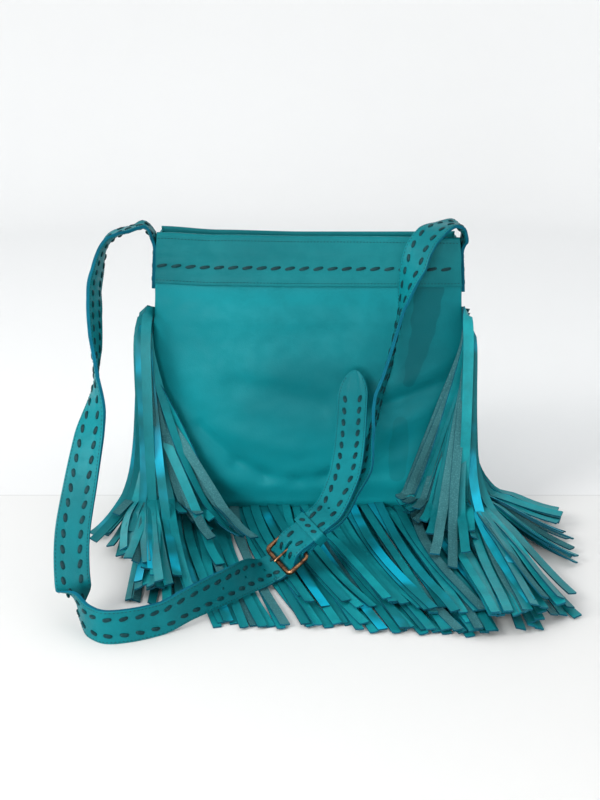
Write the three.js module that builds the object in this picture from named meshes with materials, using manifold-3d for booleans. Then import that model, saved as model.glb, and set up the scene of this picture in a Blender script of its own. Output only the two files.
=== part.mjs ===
// A soft leather shoulder bag that stands on a floor, with a long fringe and a buckled strap.
// Millimetres, +Z up. The origin is the middle of the bag's base, and the front faces -Y.
import * as THREE from "three";
import { mergeVertices } from "three/addons/utils/BufferGeometryUtils.js";
import Module from "manifold-3d";

const wasm = await Module();
wasm.setup();

// Driving dimensions of the bag
const BAG_HEIGHT = 277;
const TOP_HALF_WIDTH = 142;
const SIDE_SPREAD = 8;
const CORNER_RADIUS = 34;
const BAG_DEPTH = 34;
const PANEL_SWELL = 13;
const RIM_RISE = 5;
const LEATHER = 1.8;
const CLEARANCE = 0.3;
const PANEL_LIFT = 4.2;

// The folded bands along the rim
const BAND_HEIGHT = 47;
const BAND_LEATHER = 1.6;
const BAND_CLEARANCE = 0.5;

// The straps
const STRAP_WIDTH = 29;
const STRAP_THICKNESS = 3.2;
const FOLD_THICKNESS = 2;
const STRAP_REACH = 266;
const SEWN_BOTTOM = 224;
const SEWN_BELOW_RIM = 14;
const TIP_LENGTH = 27;
const HOLE_DIAMETER = 2.4;
const HOLE_SPACING = 29;
const HOLES_BEFORE_BUCKLE = 3;
const HOLES_AFTER_BUCKLE = 2;
const STRAP_STEP = 12;
const RIBBON_DIVISIONS = 3000;

// The buckle and the keeper
const BUCKLE_WIRE = 3.6;
const BUCKLE_LENGTH = 22;
const BUCKLE_SIDE_PLAY = 2;
const BUCKLE_CORNER = 4;
const OUTER_BAR_FLARE = 1.25;
const PRONG_DIAMETER = 2.2;
const PRONG_OVERHANG = 2.5;
const KEEPER_LENGTH = 12;
const KEEPER_LEATHER = 2;
const KEEPER_OFFSET = 29;

// The fringe
const FRINGE_TOP = 205;
const HEAD_THICKNESS = 2;
const HEAD_DEPTH = 8;
const HEAD_PROUD = 3;
const LOCK_WIDTH = 11;
const LOCK_THICKNESS = 2.6;
const FRINGE_HALF_SPREAD = 240;
const FRINGE_REACH = 277;
const SHOULDER_LOW = 3;
const SHOULDER_HIGH = 11;
const ROOT_LENGTH = 4;
const LOCK_STEPS = 6;
const GROUND_STEPS = 3;

// How far the sides stand out at each height, in shares of BAG_HEIGHT and SIDE_SPREAD
const SIDE_ROWS = [
  { up: 0.0, out: 0.95 },
  { up: 0.25, out: 1.15 },
  { up: 0.6, out: 1.0 },
  { up: 0.8, out: 0.5 },
  { up: 0.92, out: 0.25 },
  { up: 1.0, out: 0.0 },
];

// How far the panels stand out in the middle, in shares of BAG_HEIGHT and PANEL_SWELL
const SWELL_ROWS = [
  { up: 0.0, swell: 0.1 },
  { up: 0.05, swell: 0.45 },
  { up: 0.14, swell: 0.85 },
  { up: 0.3, swell: 1.0 },
  { up: 0.5, swell: 0.92 },
  { up: 0.7, swell: 0.6 },
  { up: 0.84, swell: 0.1 },
  { up: 0.93, swell: -0.25 },
  { up: 1.0, swell: -0.45 },
];

// How the rim rises across the bag, in shares of TOP_HALF_WIDTH and RIM_RISE
const RIM_ROWS = [
  { across: -1.0, rise: 1.0 },
  { across: -0.6, rise: 0.4 },
  { across: 0.0, rise: 0.1 },
  { across: 1.0, rise: 0.0 },
];

// Soft folds of the front: the line's two ends across and up, its half width in shares
// of TOP_HALF_WIDTH, and its depth in shares of PANEL_SWELL, raised where it is positive
const FRONT_FOLDS = [
  { fromAcross: 0.52, fromUp: 0.33, toAcross: 1.0, toUp: 0.46, wide: 0.06, deep: 0.16 },
  { fromAcross: 0.55, fromUp: 0.25, toAcross: 1.0, toUp: 0.37, wide: 0.08, deep: -0.2 },
  { fromAcross: -1.0, fromUp: 0.52, toAcross: -0.35, toUp: 0.16, wide: 0.1, deep: -0.18 },
  { fromAcross: -0.6, fromUp: 0.33, toAcross: -0.1, toUp: 0.25, wide: 0.07, deep: 0.1 },
  { fromAcross: 0.0, fromUp: 0.12, toAcross: 0.6, toUp: 0.17, wide: 0.08, deep: -0.12 },
  { fromAcross: -0.7, fromUp: 0.62, toAcross: 0.2, toUp: 0.68, wide: 0.12, deep: -0.1 },
];
const BACK_FOLDS = [
  { fromAcross: -0.9, fromUp: 0.35, toAcross: -0.2, toUp: 0.2, wide: 0.1, deep: -0.16 },
  { fromAcross: 0.3, fromUp: 0.55, toAcross: 0.9, toUp: 0.62, wide: 0.1, deep: -0.14 },
];

// The strap's free stretches. Across is in shares of TOP_HALF_WIDTH, ahead of
// STRAP_REACH, up of BAG_HEIGHT and stand of STRAP_WIDTH. The last three columns point
// across the strap, from its far edge to its near edge.
const LOOP_ROWS = [
  { across: -1.052, ahead: -0.058, up: 1.004, stand: 0, turnX: 0, turnY: -1, turnZ: 0 },
  { across: -1.09, ahead: -0.043, up: 1.027, stand: 0, turnX: 0, turnY: -1, turnZ: 0 },
  { across: -1.14, ahead: -0.026, up: 1.03, stand: 0, turnX: 0, turnY: -1, turnZ: 0.1 },
  { across: -1.251, ahead: 0.026, up: 1.017, stand: 0, turnX: 0, turnY: -1, turnZ: -0.1 },
  { across: -1.306, ahead: 0.086, up: 0.989, stand: 0, turnX: -0.05, turnY: -1, turnZ: -0.2 },
  { across: -1.335, ahead: 0.25, up: 0.9, stand: 0, turnX: -0.06, turnY: -0.97, turnZ: 0 },
  { across: -1.32, ahead: 0.35, up: 0.835, stand: 0, turnX: -0.08, turnY: -0.95, turnZ: 0 },
  { across: -1.29, ahead: 0.455, up: 0.746, stand: 0, turnX: -0.05, turnY: -0.96, turnZ: 0 },
  { across: -1.27, ahead: 0.54, up: 0.64, stand: 0, turnX: 0.25, turnY: -0.95, turnZ: 0 },
  { across: -1.273, ahead: 0.59, up: 0.565, stand: 0, turnX: 0.66, turnY: -0.72, turnZ: 0 },
  { across: -1.296, ahead: 0.624, up: 0.503, stand: 0, turnX: 0.88, turnY: -0.48, turnZ: 0 },
  { across: -1.338, ahead: 0.695, up: 0.375, stand: 0, turnX: 0.98, turnY: -0.2, turnZ: 0 },
  { across: -1.374, ahead: 0.77, up: 0.244, stand: 0, turnX: 0.97, turnY: -0.1, turnZ: -0.2 },
  { across: -1.37, ahead: 0.822, up: 0.158, stand: 0, turnX: 0.85, turnY: -0.25, turnZ: -0.45 },
  { across: -1.35, ahead: 0.86, up: 0.1, stand: 0, turnX: 0.6, turnY: -0.35, turnZ: -0.7 },
  { across: -1.305, ahead: 0.905, up: 0.02, stand: 0.48, turnX: 0.25, turnY: -0.2, turnZ: -0.95 },
  { across: -1.235, ahead: 0.96, up: 0, stand: 0.5, turnX: 0, turnY: 0, turnZ: -1 },
  { across: -1.14, ahead: 0.995, up: 0, stand: 0.5, turnX: 0, turnY: 0, turnZ: -1 },
  { across: -1.0, ahead: 0.985, up: 0, stand: 0.5, turnX: 0, turnY: 0, turnZ: -1 },
  { across: -0.84, ahead: 0.945, up: 0, stand: 0.5, turnX: 0, turnY: 0, turnZ: -1 },
  { across: -0.683, ahead: 0.882, up: 0, stand: 0.66, turnX: 0, turnY: -0.08, turnZ: -1 },
  { across: -0.48, ahead: 0.775, up: 0, stand: 0.7, turnX: 0.12, turnY: -0.28, turnZ: -0.95 },
  { across: -0.358, ahead: 0.683, up: 0.01, stand: 0.5, turnX: 0.3, turnY: -0.58, turnZ: -0.74 },
];
const TIP_ROWS = [
  { across: 0.13, ahead: 0.47, up: 0.22, stand: 0, turnX: 0.62, turnY: -0.72, turnZ: -0.2 },
  { across: 0.218, ahead: 0.384, up: 0.289, stand: 0, turnX: 0.8, turnY: -0.5, turnZ: -0.1 },
  { across: 0.258, ahead: 0.286, up: 0.351, stand: 0, turnX: 0.9, turnY: -0.4, turnZ: 0 },
  { across: 0.279, ahead: 0.196, up: 0.416, stand: 0, turnX: 0.9, turnY: -0.36, turnZ: 0 },
  { across: 0.295, ahead: 0.118, up: 0.487, stand: 0, turnX: 0.92, turnY: -0.3, turnZ: 0 },
  { across: 0.312, ahead: 0.066, up: 0.562, stand: 0, turnX: 0.94, turnY: -0.2, turnZ: 0 },
];
const FALL_ROWS = [
  { across: 1.045, ahead: -0.108, up: 0.99, stand: 0, turnX: 0, turnY: -1, turnZ: 0 },
  { across: 0.995, ahead: -0.082, up: 1.032, stand: 0, turnX: 0, turnY: -1, turnZ: 0 },
  { across: 0.9, ahead: -0.045, up: 1.041, stand: 0, turnX: 0.1, turnY: -1, turnZ: 0 },
  { across: 0.799, ahead: 0.0, up: 1.022, stand: 0, turnX: 0.5, turnY: -0.8, turnZ: -0.3 },
  { across: 0.722, ahead: 0.028, up: 0.975, stand: 0, turnX: 0.7, turnY: -0.65, turnZ: -0.25 },
  { across: 0.689, ahead: 0.04, up: 0.924, stand: 0, turnX: 0.7, turnY: -0.65, turnZ: -0.2 },
  { across: 0.656, ahead: 0.048, up: 0.874, stand: 0, turnX: 0.5, turnY: -0.83, turnZ: 0 },
  { across: 0.611, ahead: 0.063, up: 0.774, stand: 0, turnX: 0, turnY: -1, turnZ: 0 },
  { across: 0.587, ahead: 0.072, up: 0.72, stand: 0, turnX: -0.05, turnY: -1, turnZ: 0 },
  { across: 0.525, ahead: 0.09, up: 0.571, stand: 0, turnX: -0.3, turnY: -0.95, turnZ: 0 },
  { across: 0.468, ahead: 0.113, up: 0.485, stand: 0, turnX: -0.35, turnY: -0.93, turnZ: 0 },
  { across: 0.43, ahead: 0.155, up: 0.4, stand: 0, turnX: -0.2, turnY: -0.95, turnZ: 0 },
  { across: 0.392, ahead: 0.2, up: 0.351, stand: 0, turnX: 0, turnY: -0.98, turnZ: 0 },
  { across: 0.334, ahead: 0.28, up: 0.29, stand: 0, turnX: 0.25, turnY: -0.9, turnZ: -0.1 },
  { across: 0.235, ahead: 0.372, up: 0.248, stand: 0, turnX: 0.55, turnY: -0.8, turnZ: -0.2 },
  { across: 0.152, ahead: 0.455, up: 0.204, stand: 0, turnX: 0.6, turnY: -0.75, turnZ: -0.22 },
];

// Where the buckle lies, in the same shares, and the way along and across the strap there
const BUCKLE_PLACE = { across: -0.134, ahead: 0.6015, up: 0.101, stand: 0 };
const BUCKLE_ALONG = new THREE.Vector3(0.734, 0.296, 0.611).normalize();
const BUCKLE_ACROSS = new THREE.Vector3(0.54, -0.8, -0.26);

// The fans of the fringe. From and to are places along the seam, -1 and 1 at its two top
// ends and 0 in the middle of the base. The tips lie at shares of FRINGE_HALF_SPREAD and
// FRINGE_REACH. Flare is how far the locks lean at half height, front how many mm they pass
// ahead of the seam, aside the share of the shoulder that stands out sideways, and layer
// how many lock thicknesses they lie above the floor.
const FANS = [
  { from: -1.0, to: -0.92, count: 3, tipX: [-0.84, -0.74], tipY: [0.4, 0.5],
    flare: 0.12, aside: 1, front: 3, layer: 0 },
  { from: -0.88, to: -0.6, count: 5, tipX: [-0.72, -0.66], tipY: [0.6, 0.8],
    flare: 0.08, aside: 1, front: 6, layer: 0 },
  { from: -0.96, to: -0.64, count: 5, tipX: [-0.3, -0.56], tipY: [0.4, 0.47],
    flare: 0.55, aside: 0.1, front: 25, layer: 3 },
  { from: -0.56, to: -0.4, count: 4, tipX: [-0.6, -0.46], tipY: [0.8, 0.86],
    flare: 0.3, aside: 0.7, front: 10, layer: 0 },
  { from: -0.32, to: 0.34, count: 17, tipX: [-0.34, 0.6], tipY: [0.93, 0.99],
    flare: 0.5, aside: 0, front: 0, layer: 0 },
  { from: 0.4, to: 0.58, count: 4, tipX: [0.66, 0.82], tipY: [0.98, 0.94],
    flare: 0.3, aside: 0.7, front: 8, layer: 0 },
  { from: 0.62, to: 1.0, count: 8, tipX: [0.88, 0.985], tipY: [0.86, 0.2],
    flare: 0.12, aside: 1, front: 3, layer: 0 },
  { from: 0.96, to: 0.64, count: 4, tipX: [0.34, 0.56], tipY: [0.2, 0.38],
    flare: 0.45, aside: 0.1, front: 25, layer: 3 },
];

const TEAL = new THREE.MeshStandardMaterial({ color: 0x1f9097, roughness: 0.5, metalness: 0 });
const STRAP_TEAL = new THREE.MeshStandardMaterial({ color: 0x25a0a6, roughness: 0.48, metalness: 0 });
const FRINGE_TEAL = new THREE.MeshStandardMaterial({ color: 0x2397a3, roughness: 0.6, metalness: 0 });
const BRASS = new THREE.MeshStandardMaterial({ color: 0x6f4c33, roughness: 0.35, metalness: 0.9 });

const SEAM_Y = -BAG_DEPTH / 2;
const PANEL_BACK_Y = SEAM_Y - CLEARANCE - HEAD_THICKNESS - CLEARANCE;
const RIM_FOLD_RADIUS = LEATHER / 2 + BAND_CLEARANCE + BAND_LEATHER;
const PANEL_TOP = BAG_HEIGHT - RIM_FOLD_RADIUS;
const BAND_ROWS = 3;
const HEAD_TOP = FRINGE_TOP + LOCK_WIDTH / 2 + CLEARANCE;
const COLUMN_STEPS = 14;
const COLUMN_SWEEP = Math.PI * 0.8;
const PANEL_COLUMNS = Array.from({ length: COLUMN_STEPS + 1 }, (_, k) => (
  Math.sin((k / COLUMN_STEPS - 0.5) * COLUMN_SWEEP) / Math.sin(COLUMN_SWEEP / 2)
));
const WIRE_RADIUS = BUCKLE_WIRE / 2;
const WRAP_RADIUS = WIRE_RADIUS + CLEARANCE + FOLD_THICKNESS / 2;
const FOLDED_LAYER = FOLD_THICKNESS / 2 + CLEARANCE;
const OVER_FOLD = WRAP_RADIUS + FOLD_THICKNESS / 2 + CLEARANCE + STRAP_THICKNESS / 2;
const OVER_LAYERS = FOLDED_LAYER + FOLD_THICKNESS / 2 + CLEARANCE + STRAP_THICKNESS / 2;
const UNDER_BAR = WIRE_RADIUS * OUTER_BAR_FLARE + CLEARANCE + STRAP_THICKNESS / 2;
const PRONG_HEIGHT = WIRE_RADIUS * OUTER_BAR_FLARE + CLEARANCE + PRONG_DIAMETER / 2;
const SLOT_WIDTH = PRONG_DIAMETER + 4 * CLEARANCE;

// A value between the rows of a table, eased at each row
function readTable(rows, key, value, at) {
  const last = rows.length - 1;
  if (at <= rows[0][key]) return rows[0][value];
  if (at >= rows[last][key]) return rows[last][value];
  const above = rows.findIndex((row) => row[key] >= at);
  const low = rows[above - 1];
  const high = rows[above];
  const share = (at - low[key]) / (high[key] - low[key]);
  return THREE.MathUtils.lerp(low[value], high[value], THREE.MathUtils.smoothstep(share, 0, 1));
}

// A closed skin over a row of rings. Each ring runs out along one side and back along the
// other, so that its ends are filled by rungs between the two sides.
function loft(rings, closes = false) {
  const count = rings[0].length;
  const index = [];
  const steps = closes ? rings.length : rings.length - 1;
  for (let i = 0; i < steps; i += 1) {
    const here = i * count;
    const next = ((i + 1) % rings.length) * count;
    for (let k = 0; k < count; k += 1) {
      const m = (k + 1) % count;
      index.push(here + k, here + m, next + m, here + k, next + m, next + k);
    }
  }
  if (!closes) {
    addRungs(index, 0, count, true);
    addRungs(index, (rings.length - 1) * count, count, false);
  }
  const geometry = new THREE.BufferGeometry();
  const values = rings.flat().flatMap((point) => [point.x, point.y, point.z]);
  geometry.setAttribute("position", new THREE.Float32BufferAttribute(values, 3));
  geometry.setIndex(signedVolume(values, index) < 0 ? flipped(index) : index);
  return geometry;
}

function addRungs(index, start, count, reversed) {
  for (let k = 0; k < count / 2 - 1; k += 1) {
    const a = start + k;
    const b = start + k + 1;
    const c = start + count - 2 - k;
    const d = start + count - 1 - k;
    const faces = reversed ? [a, c, b, a, d, c] : [a, b, c, a, c, d];
    index.push(...faces);
  }
}

function signedVolume(values, index) {
  const point = (i) => new THREE.Vector3(values[3 * i], values[3 * i + 1], values[3 * i + 2]);
  let total = 0;
  for (let i = 0; i < index.length; i += 3) {
    total += point(index[i]).dot(point(index[i + 1]).cross(point(index[i + 2])));
  }
  return total / 6;
}

function flipped(index) {
  const turned = [];
  for (let i = 0; i < index.length; i += 3) turned.push(index[i], index[i + 2], index[i + 1]);
  return turned;
}

// Solids for joining and cutting
function toSolid(geometry) {
  const bare = geometry.clone();
  bare.deleteAttribute("normal");
  bare.deleteAttribute("uv");
  const merged = mergeVertices(bare);
  return new wasm.Manifold(new wasm.Mesh({
    numProp: 3,
    vertProperties: new Float32Array(merged.attributes.position.array),
    triVerts: new Uint32Array(merged.index.array),
  }));
}

function toGeometry(solid) {
  const mesh = solid.getMesh();
  const geometry = new THREE.BufferGeometry();
  geometry.setAttribute("position", new THREE.BufferAttribute(mesh.vertProperties, 3));
  geometry.setIndex(new THREE.BufferAttribute(mesh.triVerts, 1));
  return geometry;
}

function joined(geometries) {
  return toGeometry(geometries.map(toSolid).reduce((whole, part) => whole.add(part)));
}

// The outer skin alone, where crossing pieces shut small hollows in between them
function withoutHollows(geometry) {
  const skins = toSolid(geometry).decompose().filter((skin) => skin.volume() > 0);
  return toGeometry(skins.reduce((whole, part) => whole.add(part)));
}

function cut(geometry, tools) {
  const start = toSolid(geometry);
  return toGeometry(tools.map(toSolid).reduce((whole, tool) => whole.subtract(tool), start));
}

function namedMesh(name, geometry, material) {
  const mesh = new THREE.Mesh(geometry, material);
  mesh.name = name;
  return mesh;
}

// The bag's outline
function halfWidth(height) {
  const straight = TOP_HALF_WIDTH + SIDE_SPREAD * readTable(SIDE_ROWS, "up", "out", height / BAG_HEIGHT);
  const below = Math.max(CORNER_RADIUS - height, 0);
  return straight - CORNER_RADIUS + Math.sqrt(CORNER_RADIUS ** 2 - below ** 2);
}

function rimLift(across, height) {
  const share = THREE.MathUtils.clamp(height / BAG_HEIGHT, 0, 1);
  return RIM_RISE * readTable(RIM_ROWS, "across", "rise", across) * share ** 2;
}

function foldDepth(folds, across, up) {
  let depth = 0;
  for (const fold of folds) {
    const dx = fold.toAcross - fold.fromAcross;
    const dz = fold.toUp - fold.fromUp;
    const along = ((across - fold.fromAcross) * dx + (up - fold.fromUp) * dz) / (dx * dx + dz * dz);
    const near = THREE.MathUtils.clamp(along, 0, 1);
    const awayAcross = across - fold.fromAcross - near * dx;
    const awayUp = (up - fold.fromUp - near * dz) * (BAG_HEIGHT / TOP_HALF_WIDTH);
    depth += fold.deep * Math.exp(-(awayAcross ** 2 + awayUp ** 2) / fold.wide ** 2);
  }
  return depth * PANEL_SWELL;
}

// How far a panel stands out from its seam
function panelSwell(folds, across, height) {
  const up = height / BAG_HEIGHT;
  const crown = PANEL_SWELL * readTable(SWELL_ROWS, "up", "swell", up) + foldDepth(folds, across, up);
  const middle = crown > 0 ? 1 - Math.abs(across) ** 5 : 1 - across ** 2;
  return middle * crown;
}

// The panel leans back onto the gusset above the fringe's head
function seamGap(height) {
  const share = THREE.MathUtils.smoothstep(height, HEAD_TOP, BAG_HEIGHT - BAND_HEIGHT);
  return THREE.MathUtils.lerp(Math.abs(PANEL_BACK_Y), Math.abs(SEAM_Y) + CLEARANCE, share);
}

// The outer face of a panel. Side is -1 for the front and 1 for the back.
function panelFace(side, across, height) {
  const folds = side < 0 ? FRONT_FOLDS : BACK_FOLDS;
  const seam = side < 0 ? seamGap(height) : Math.abs(SEAM_Y) + CLEARANCE;
  return side * (seam + LEATHER + panelSwell(folds, across, height));
}

// Heights in the band, which the panel under it follows row by row
function bandHeight(row) {
  return THREE.MathUtils.lerp(BAG_HEIGHT - BAND_HEIGHT, PANEL_TOP, row / BAND_ROWS);
}

function panelHeights() {
  const cornerRows = 4;
  const plainRows = 8;
  const heights = [];
  for (let i = 0; i < cornerRows; i += 1) {
    const share = 1 - Math.cos(((i / cornerRows) * Math.PI) / 2);
    heights.push(THREE.MathUtils.lerp(PANEL_LIFT, CORNER_RADIUS, share));
  }
  for (let i = 0; i <= plainRows; i += 1) {
    heights.push(THREE.MathUtils.lerp(CORNER_RADIUS, HEAD_TOP, i / plainRows));
  }
  for (let row = 0; row <= BAND_ROWS; row += 1) heights.push(bandHeight(row));
  return heights;
}

function panelGeometry(side) {
  const rings = panelHeights().map((height) => {
    const outer = [];
    const inner = [];
    for (const across of PANEL_COLUMNS) {
      const x = across * halfWidth(height);
      const z = height + rimLift(across, height);
      const y = panelFace(side, across, height);
      outer.push(new THREE.Vector3(x, y, z));
      inner.unshift(new THREE.Vector3(x, y - side * LEATHER, z));
    }
    return [...outer, ...inner];
  });
  return loft(rings);
}

// A band's cross-section: the tall leg outside, the fold over the rim, the short leg inside.
// Offsets are from the middle of the panel, towards the inside of the bag.
function bandSection() {
  const foldSteps = 3;
  const outerSkin = RIM_FOLD_RADIUS;
  const innerSkin = RIM_FOLD_RADIUS - BAND_LEATHER;
  const section = [];
  for (let row = 0; row < BAND_ROWS; row += 1) {
    section.push({ outer: [-outerSkin, bandHeight(row)], inner: [-innerSkin, bandHeight(row)] });
  }
  for (let i = 0; i <= foldSteps; i += 1) {
    const angle = Math.PI * (1 - i / foldSteps);
    section.push({
      outer: [Math.cos(angle) * outerSkin, PANEL_TOP + Math.sin(angle) * outerSkin],
      inner: [Math.cos(angle) * innerSkin, PANEL_TOP + Math.sin(angle) * innerSkin],
    });
  }
  for (let row = BAND_ROWS - 1; row >= BAND_ROWS / 2; row -= 1) {
    section.push({ outer: [outerSkin, bandHeight(row)], inner: [innerSkin, bandHeight(row)] });
  }
  return section;
}

function bandGeometry(side) {
  const section = bandSection();
  const place = (across, [offset, height]) => {
    const insideWall = offset > LEATHER / 2 ? LEATHER + 2 * CLEARANCE : 0;
    const x = across * (halfWidth(height) - insideWall);
    const y = panelFace(side, across, Math.min(height, PANEL_TOP)) - side * (LEATHER / 2 + offset);
    return new THREE.Vector3(x, y, height + rimLift(across, height));
  };
  const rings = PANEL_COLUMNS.map((across) => [
    ...section.map((row) => place(across, row.outer)),
    ...section.map((row) => place(across, row.inner)).reverse(),
  ]);
  return loft(rings);
}

// Places down the seam, out along the corner and across the base. At -1 and 1 it is at the
// fringe's top ends. Outward points out of the bag in the seam's plane.
function seamPoint(place, top) {
  const side = Math.sign(place) || 1;
  const flat = halfWidth(CORNER_RADIUS) - CORNER_RADIUS;
  const arc = (CORNER_RADIUS * Math.PI) / 2;
  const whole = flat + arc + (top - CORNER_RADIUS);
  const along = Math.abs(place) * whole;
  if (along < flat) {
    return { point: new THREE.Vector3(side * along, 0, 0), outward: new THREE.Vector3(0, 0, -1) };
  }
  if (along < flat + arc) {
    const angle = (along - flat) / CORNER_RADIUS;
    const outward = new THREE.Vector3(side * Math.sin(angle), 0, -Math.cos(angle));
    const middle = new THREE.Vector3(side * flat, 0, CORNER_RADIUS);
    return { point: middle.addScaledVector(outward, CORNER_RADIUS), outward };
  }
  const height = CORNER_RADIUS + along - flat - arc;
  const point = new THREE.Vector3(side * halfWidth(height), 0, height);
  return { point, outward: new THREE.Vector3(side, 0, 0) };
}

function seamPlaces(sideSteps, cornerSteps, top) {
  const flat = halfWidth(CORNER_RADIUS) - CORNER_RADIUS;
  const arc = (CORNER_RADIUS * Math.PI) / 2;
  const whole = flat + arc + (top - CORNER_RADIUS);
  const places = [];
  for (let i = 0; i <= sideSteps; i += 1) {
    places.push(THREE.MathUtils.lerp(1, (flat + arc) / whole, i / sideSteps));
  }
  for (let i = 1; i <= cornerSteps; i += 1) {
    places.push(THREE.MathUtils.lerp((flat + arc) / whole, flat / whole, i / cornerSteps));
  }
  return [...places.map((place) => -place), ...places.slice().reverse()];
}

// The strip that makes the sides and the base
function gussetGeometry() {
  const top = PANEL_TOP - CLEARANCE;
  const rings = seamPlaces(8, 6, top).map((place) => {
    const { point, outward } = seamPoint(place, top);
    const lift = point.z > CORNER_RADIUS ? rimLift(Math.sign(place), point.z) : 0;
    const outer = point.clone();
    outer.z += lift;
    const inner = outer.clone().addScaledVector(outward, -LEATHER);
    const corner = (base, y) => new THREE.Vector3(base.x, y, base.z);
    return [corner(outer, SEAM_Y), corner(outer, -SEAM_Y), corner(inner, -SEAM_Y), corner(inner, SEAM_Y)];
  });
  return loft(rings);
}

// A strap's station: where it is and the way across it
function station(row, from) {
  const x = row.across * TOP_HALF_WIDTH;
  const z = row.up * BAG_HEIGHT + row.stand * STRAP_WIDTH;
  return {
    point: new THREE.Vector3(x, -(from + row.ahead * STRAP_REACH), z),
    across: new THREE.Vector3(row.turnX, row.turnY, row.turnZ),
    thickness: STRAP_THICKNESS,
  };
}

BUCKLE_ACROSS.addScaledVector(BUCKLE_ALONG, -BUCKLE_ACROSS.dot(BUCKLE_ALONG)).normalize();
const BUCKLE_OUT = BUCKLE_ACROSS.clone().cross(BUCKLE_ALONG);
const BUCKLE_MIDDLE = station({ ...BUCKLE_PLACE, turnX: 0, turnY: 0, turnZ: 0 }, BAG_DEPTH / 2).point;

// A station of the stretch that lies in the buckle and the keeper
function buckleStation(along, out, thickness, aside = 0) {
  const point = BUCKLE_MIDDLE.clone().addScaledVector(BUCKLE_ALONG, along);
  point.addScaledVector(BUCKLE_OUT, out).addScaledVector(BUCKLE_ACROSS, aside);
  return { point, across: BUCKLE_ACROSS.clone(), thickness };
}

// The stretch that is sewn on the outside of the gusset
function sewnStations(side) {
  return [0, 0.33, 0.67, 1].map((share) => {
    const height = THREE.MathUtils.lerp(SEWN_BOTTOM, BAG_HEIGHT - SEWN_BELOW_RIM, share);
    const x = side * (halfWidth(height) + 2 * CLEARANCE + STRAP_THICKNESS / 2);
    const point = new THREE.Vector3(x, 0, height + rimLift(side, height));
    return { point, across: new THREE.Vector3(0, -1, 0), thickness: STRAP_THICKNESS };
  });
}

// A smooth ribbon through its stations. Places on it are the curve's own, 0 to 1.
class Ribbon {
  constructor(stations) {
    this.stations = stations;
    this.curve = new THREE.CatmullRomCurve3(stations.map((row) => row.point), false, "centripetal");
    this.lengths = this.curve.getLengths(RIBBON_DIVISIONS);
    this.length = this.lengths[RIBBON_DIVISIONS];
  }

  lengthTo(place) {
    return this.lengths[Math.round(place * RIBBON_DIVISIONS)];
  }

  atLength(length) {
    return this.lengths.findIndex((value) => value >= length) / RIBBON_DIVISIONS;
  }

  // The place that lies nearest to a point
  nearest(point) {
    const distances = this.curve.getPoints(RIBBON_DIVISIONS).map((other) => other.distanceTo(point));
    return distances.indexOf(Math.min(...distances)) / RIBBON_DIVISIONS;
  }

  frame(place) {
    const raw = place * (this.stations.length - 1);
    const low = Math.min(Math.floor(raw), this.stations.length - 2);
    const part = raw - low;
    const before = this.stations[low];
    const after = this.stations[low + 1];
    const along = this.curve.getTangent(place);
    const across = before.across.clone().lerp(after.across, part);
    across.addScaledVector(along, -across.dot(along)).normalize();
    const thickness = THREE.MathUtils.lerp(before.thickness, after.thickness, part);
    const out = across.clone().cross(along);
    return { point: this.curve.getPoint(place), along, across, out, thickness };
  }

  ring(place, width) {
    const { point, across, out, thickness } = this.frame(place);
    const low = (Math.abs(across.z) * width + Math.abs(out.z) * thickness) / 2;
    point.z = Math.max(point.z, low);
    const corner = (a, b) => point.clone().addScaledVector(across, (a * width) / 2)
      .addScaledVector(out, (b * thickness) / 2);
    return [corner(-1, 1), corner(1, 1), corner(1, -1), corner(-1, -1)];
  }
}

// The width of the pointed end, in shares, at a distance from the point
function tipShare(distance) {
  const share = THREE.MathUtils.clamp(distance / TIP_LENGTH, 0, 1);
  return Math.max(Math.sqrt(1 - (1 - share) ** 2) ** 1.25, 0.06);
}

function ribbonGeometry(ribbon, pointed) {
  const spans = ribbon.stations.length - 1;
  const places = [0];
  for (let span = 0; span < spans; span += 1) {
    const length = ribbon.lengthTo((span + 1) / spans) - ribbon.lengthTo(span / spans);
    const steps = Math.ceil(length / STRAP_STEP);
    for (let i = 1; i <= steps; i += 1) places.push((span + i / steps) / spans);
  }
  if (pointed) {
    const shares = [0.85, 0.7, 0.5, 0.3, 0.15, 0.04];
    const tips = shares.map((share) => ribbon.atLength(ribbon.length - share * TIP_LENGTH));
    const kept = places.filter((place) => place < tips[0] || place === 1);
    places.splice(0, places.length, ...kept, ...tips);
    places.sort((a, b) => a - b);
  }
  const width = (place) => {
    const left = ribbon.length - ribbon.lengthTo(place);
    return pointed ? STRAP_WIDTH * tipShare(left) : STRAP_WIDTH;
  };
  return loft(places.map((place) => ribbon.ring(place, width(place))));
}

// A rod or slot through a ribbon, across its faces
function piercing(frame, along, across, reach) {
  const sides = 8;
  const rings = [-1, 1].map((end) => {
    const ring = [];
    for (let k = 0; k < sides; k += 1) {
      const angle = ((k + 0.5) / sides) * 2 * Math.PI;
      ring.push(frame.point.clone().addScaledVector(frame.out, end * reach)
        .addScaledVector(frame.along, (Math.cos(angle) * along) / 2)
        .addScaledVector(frame.across, (Math.sin(angle) * across) / 2));
    }
    return ring;
  });
  return loft(rings);
}

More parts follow.
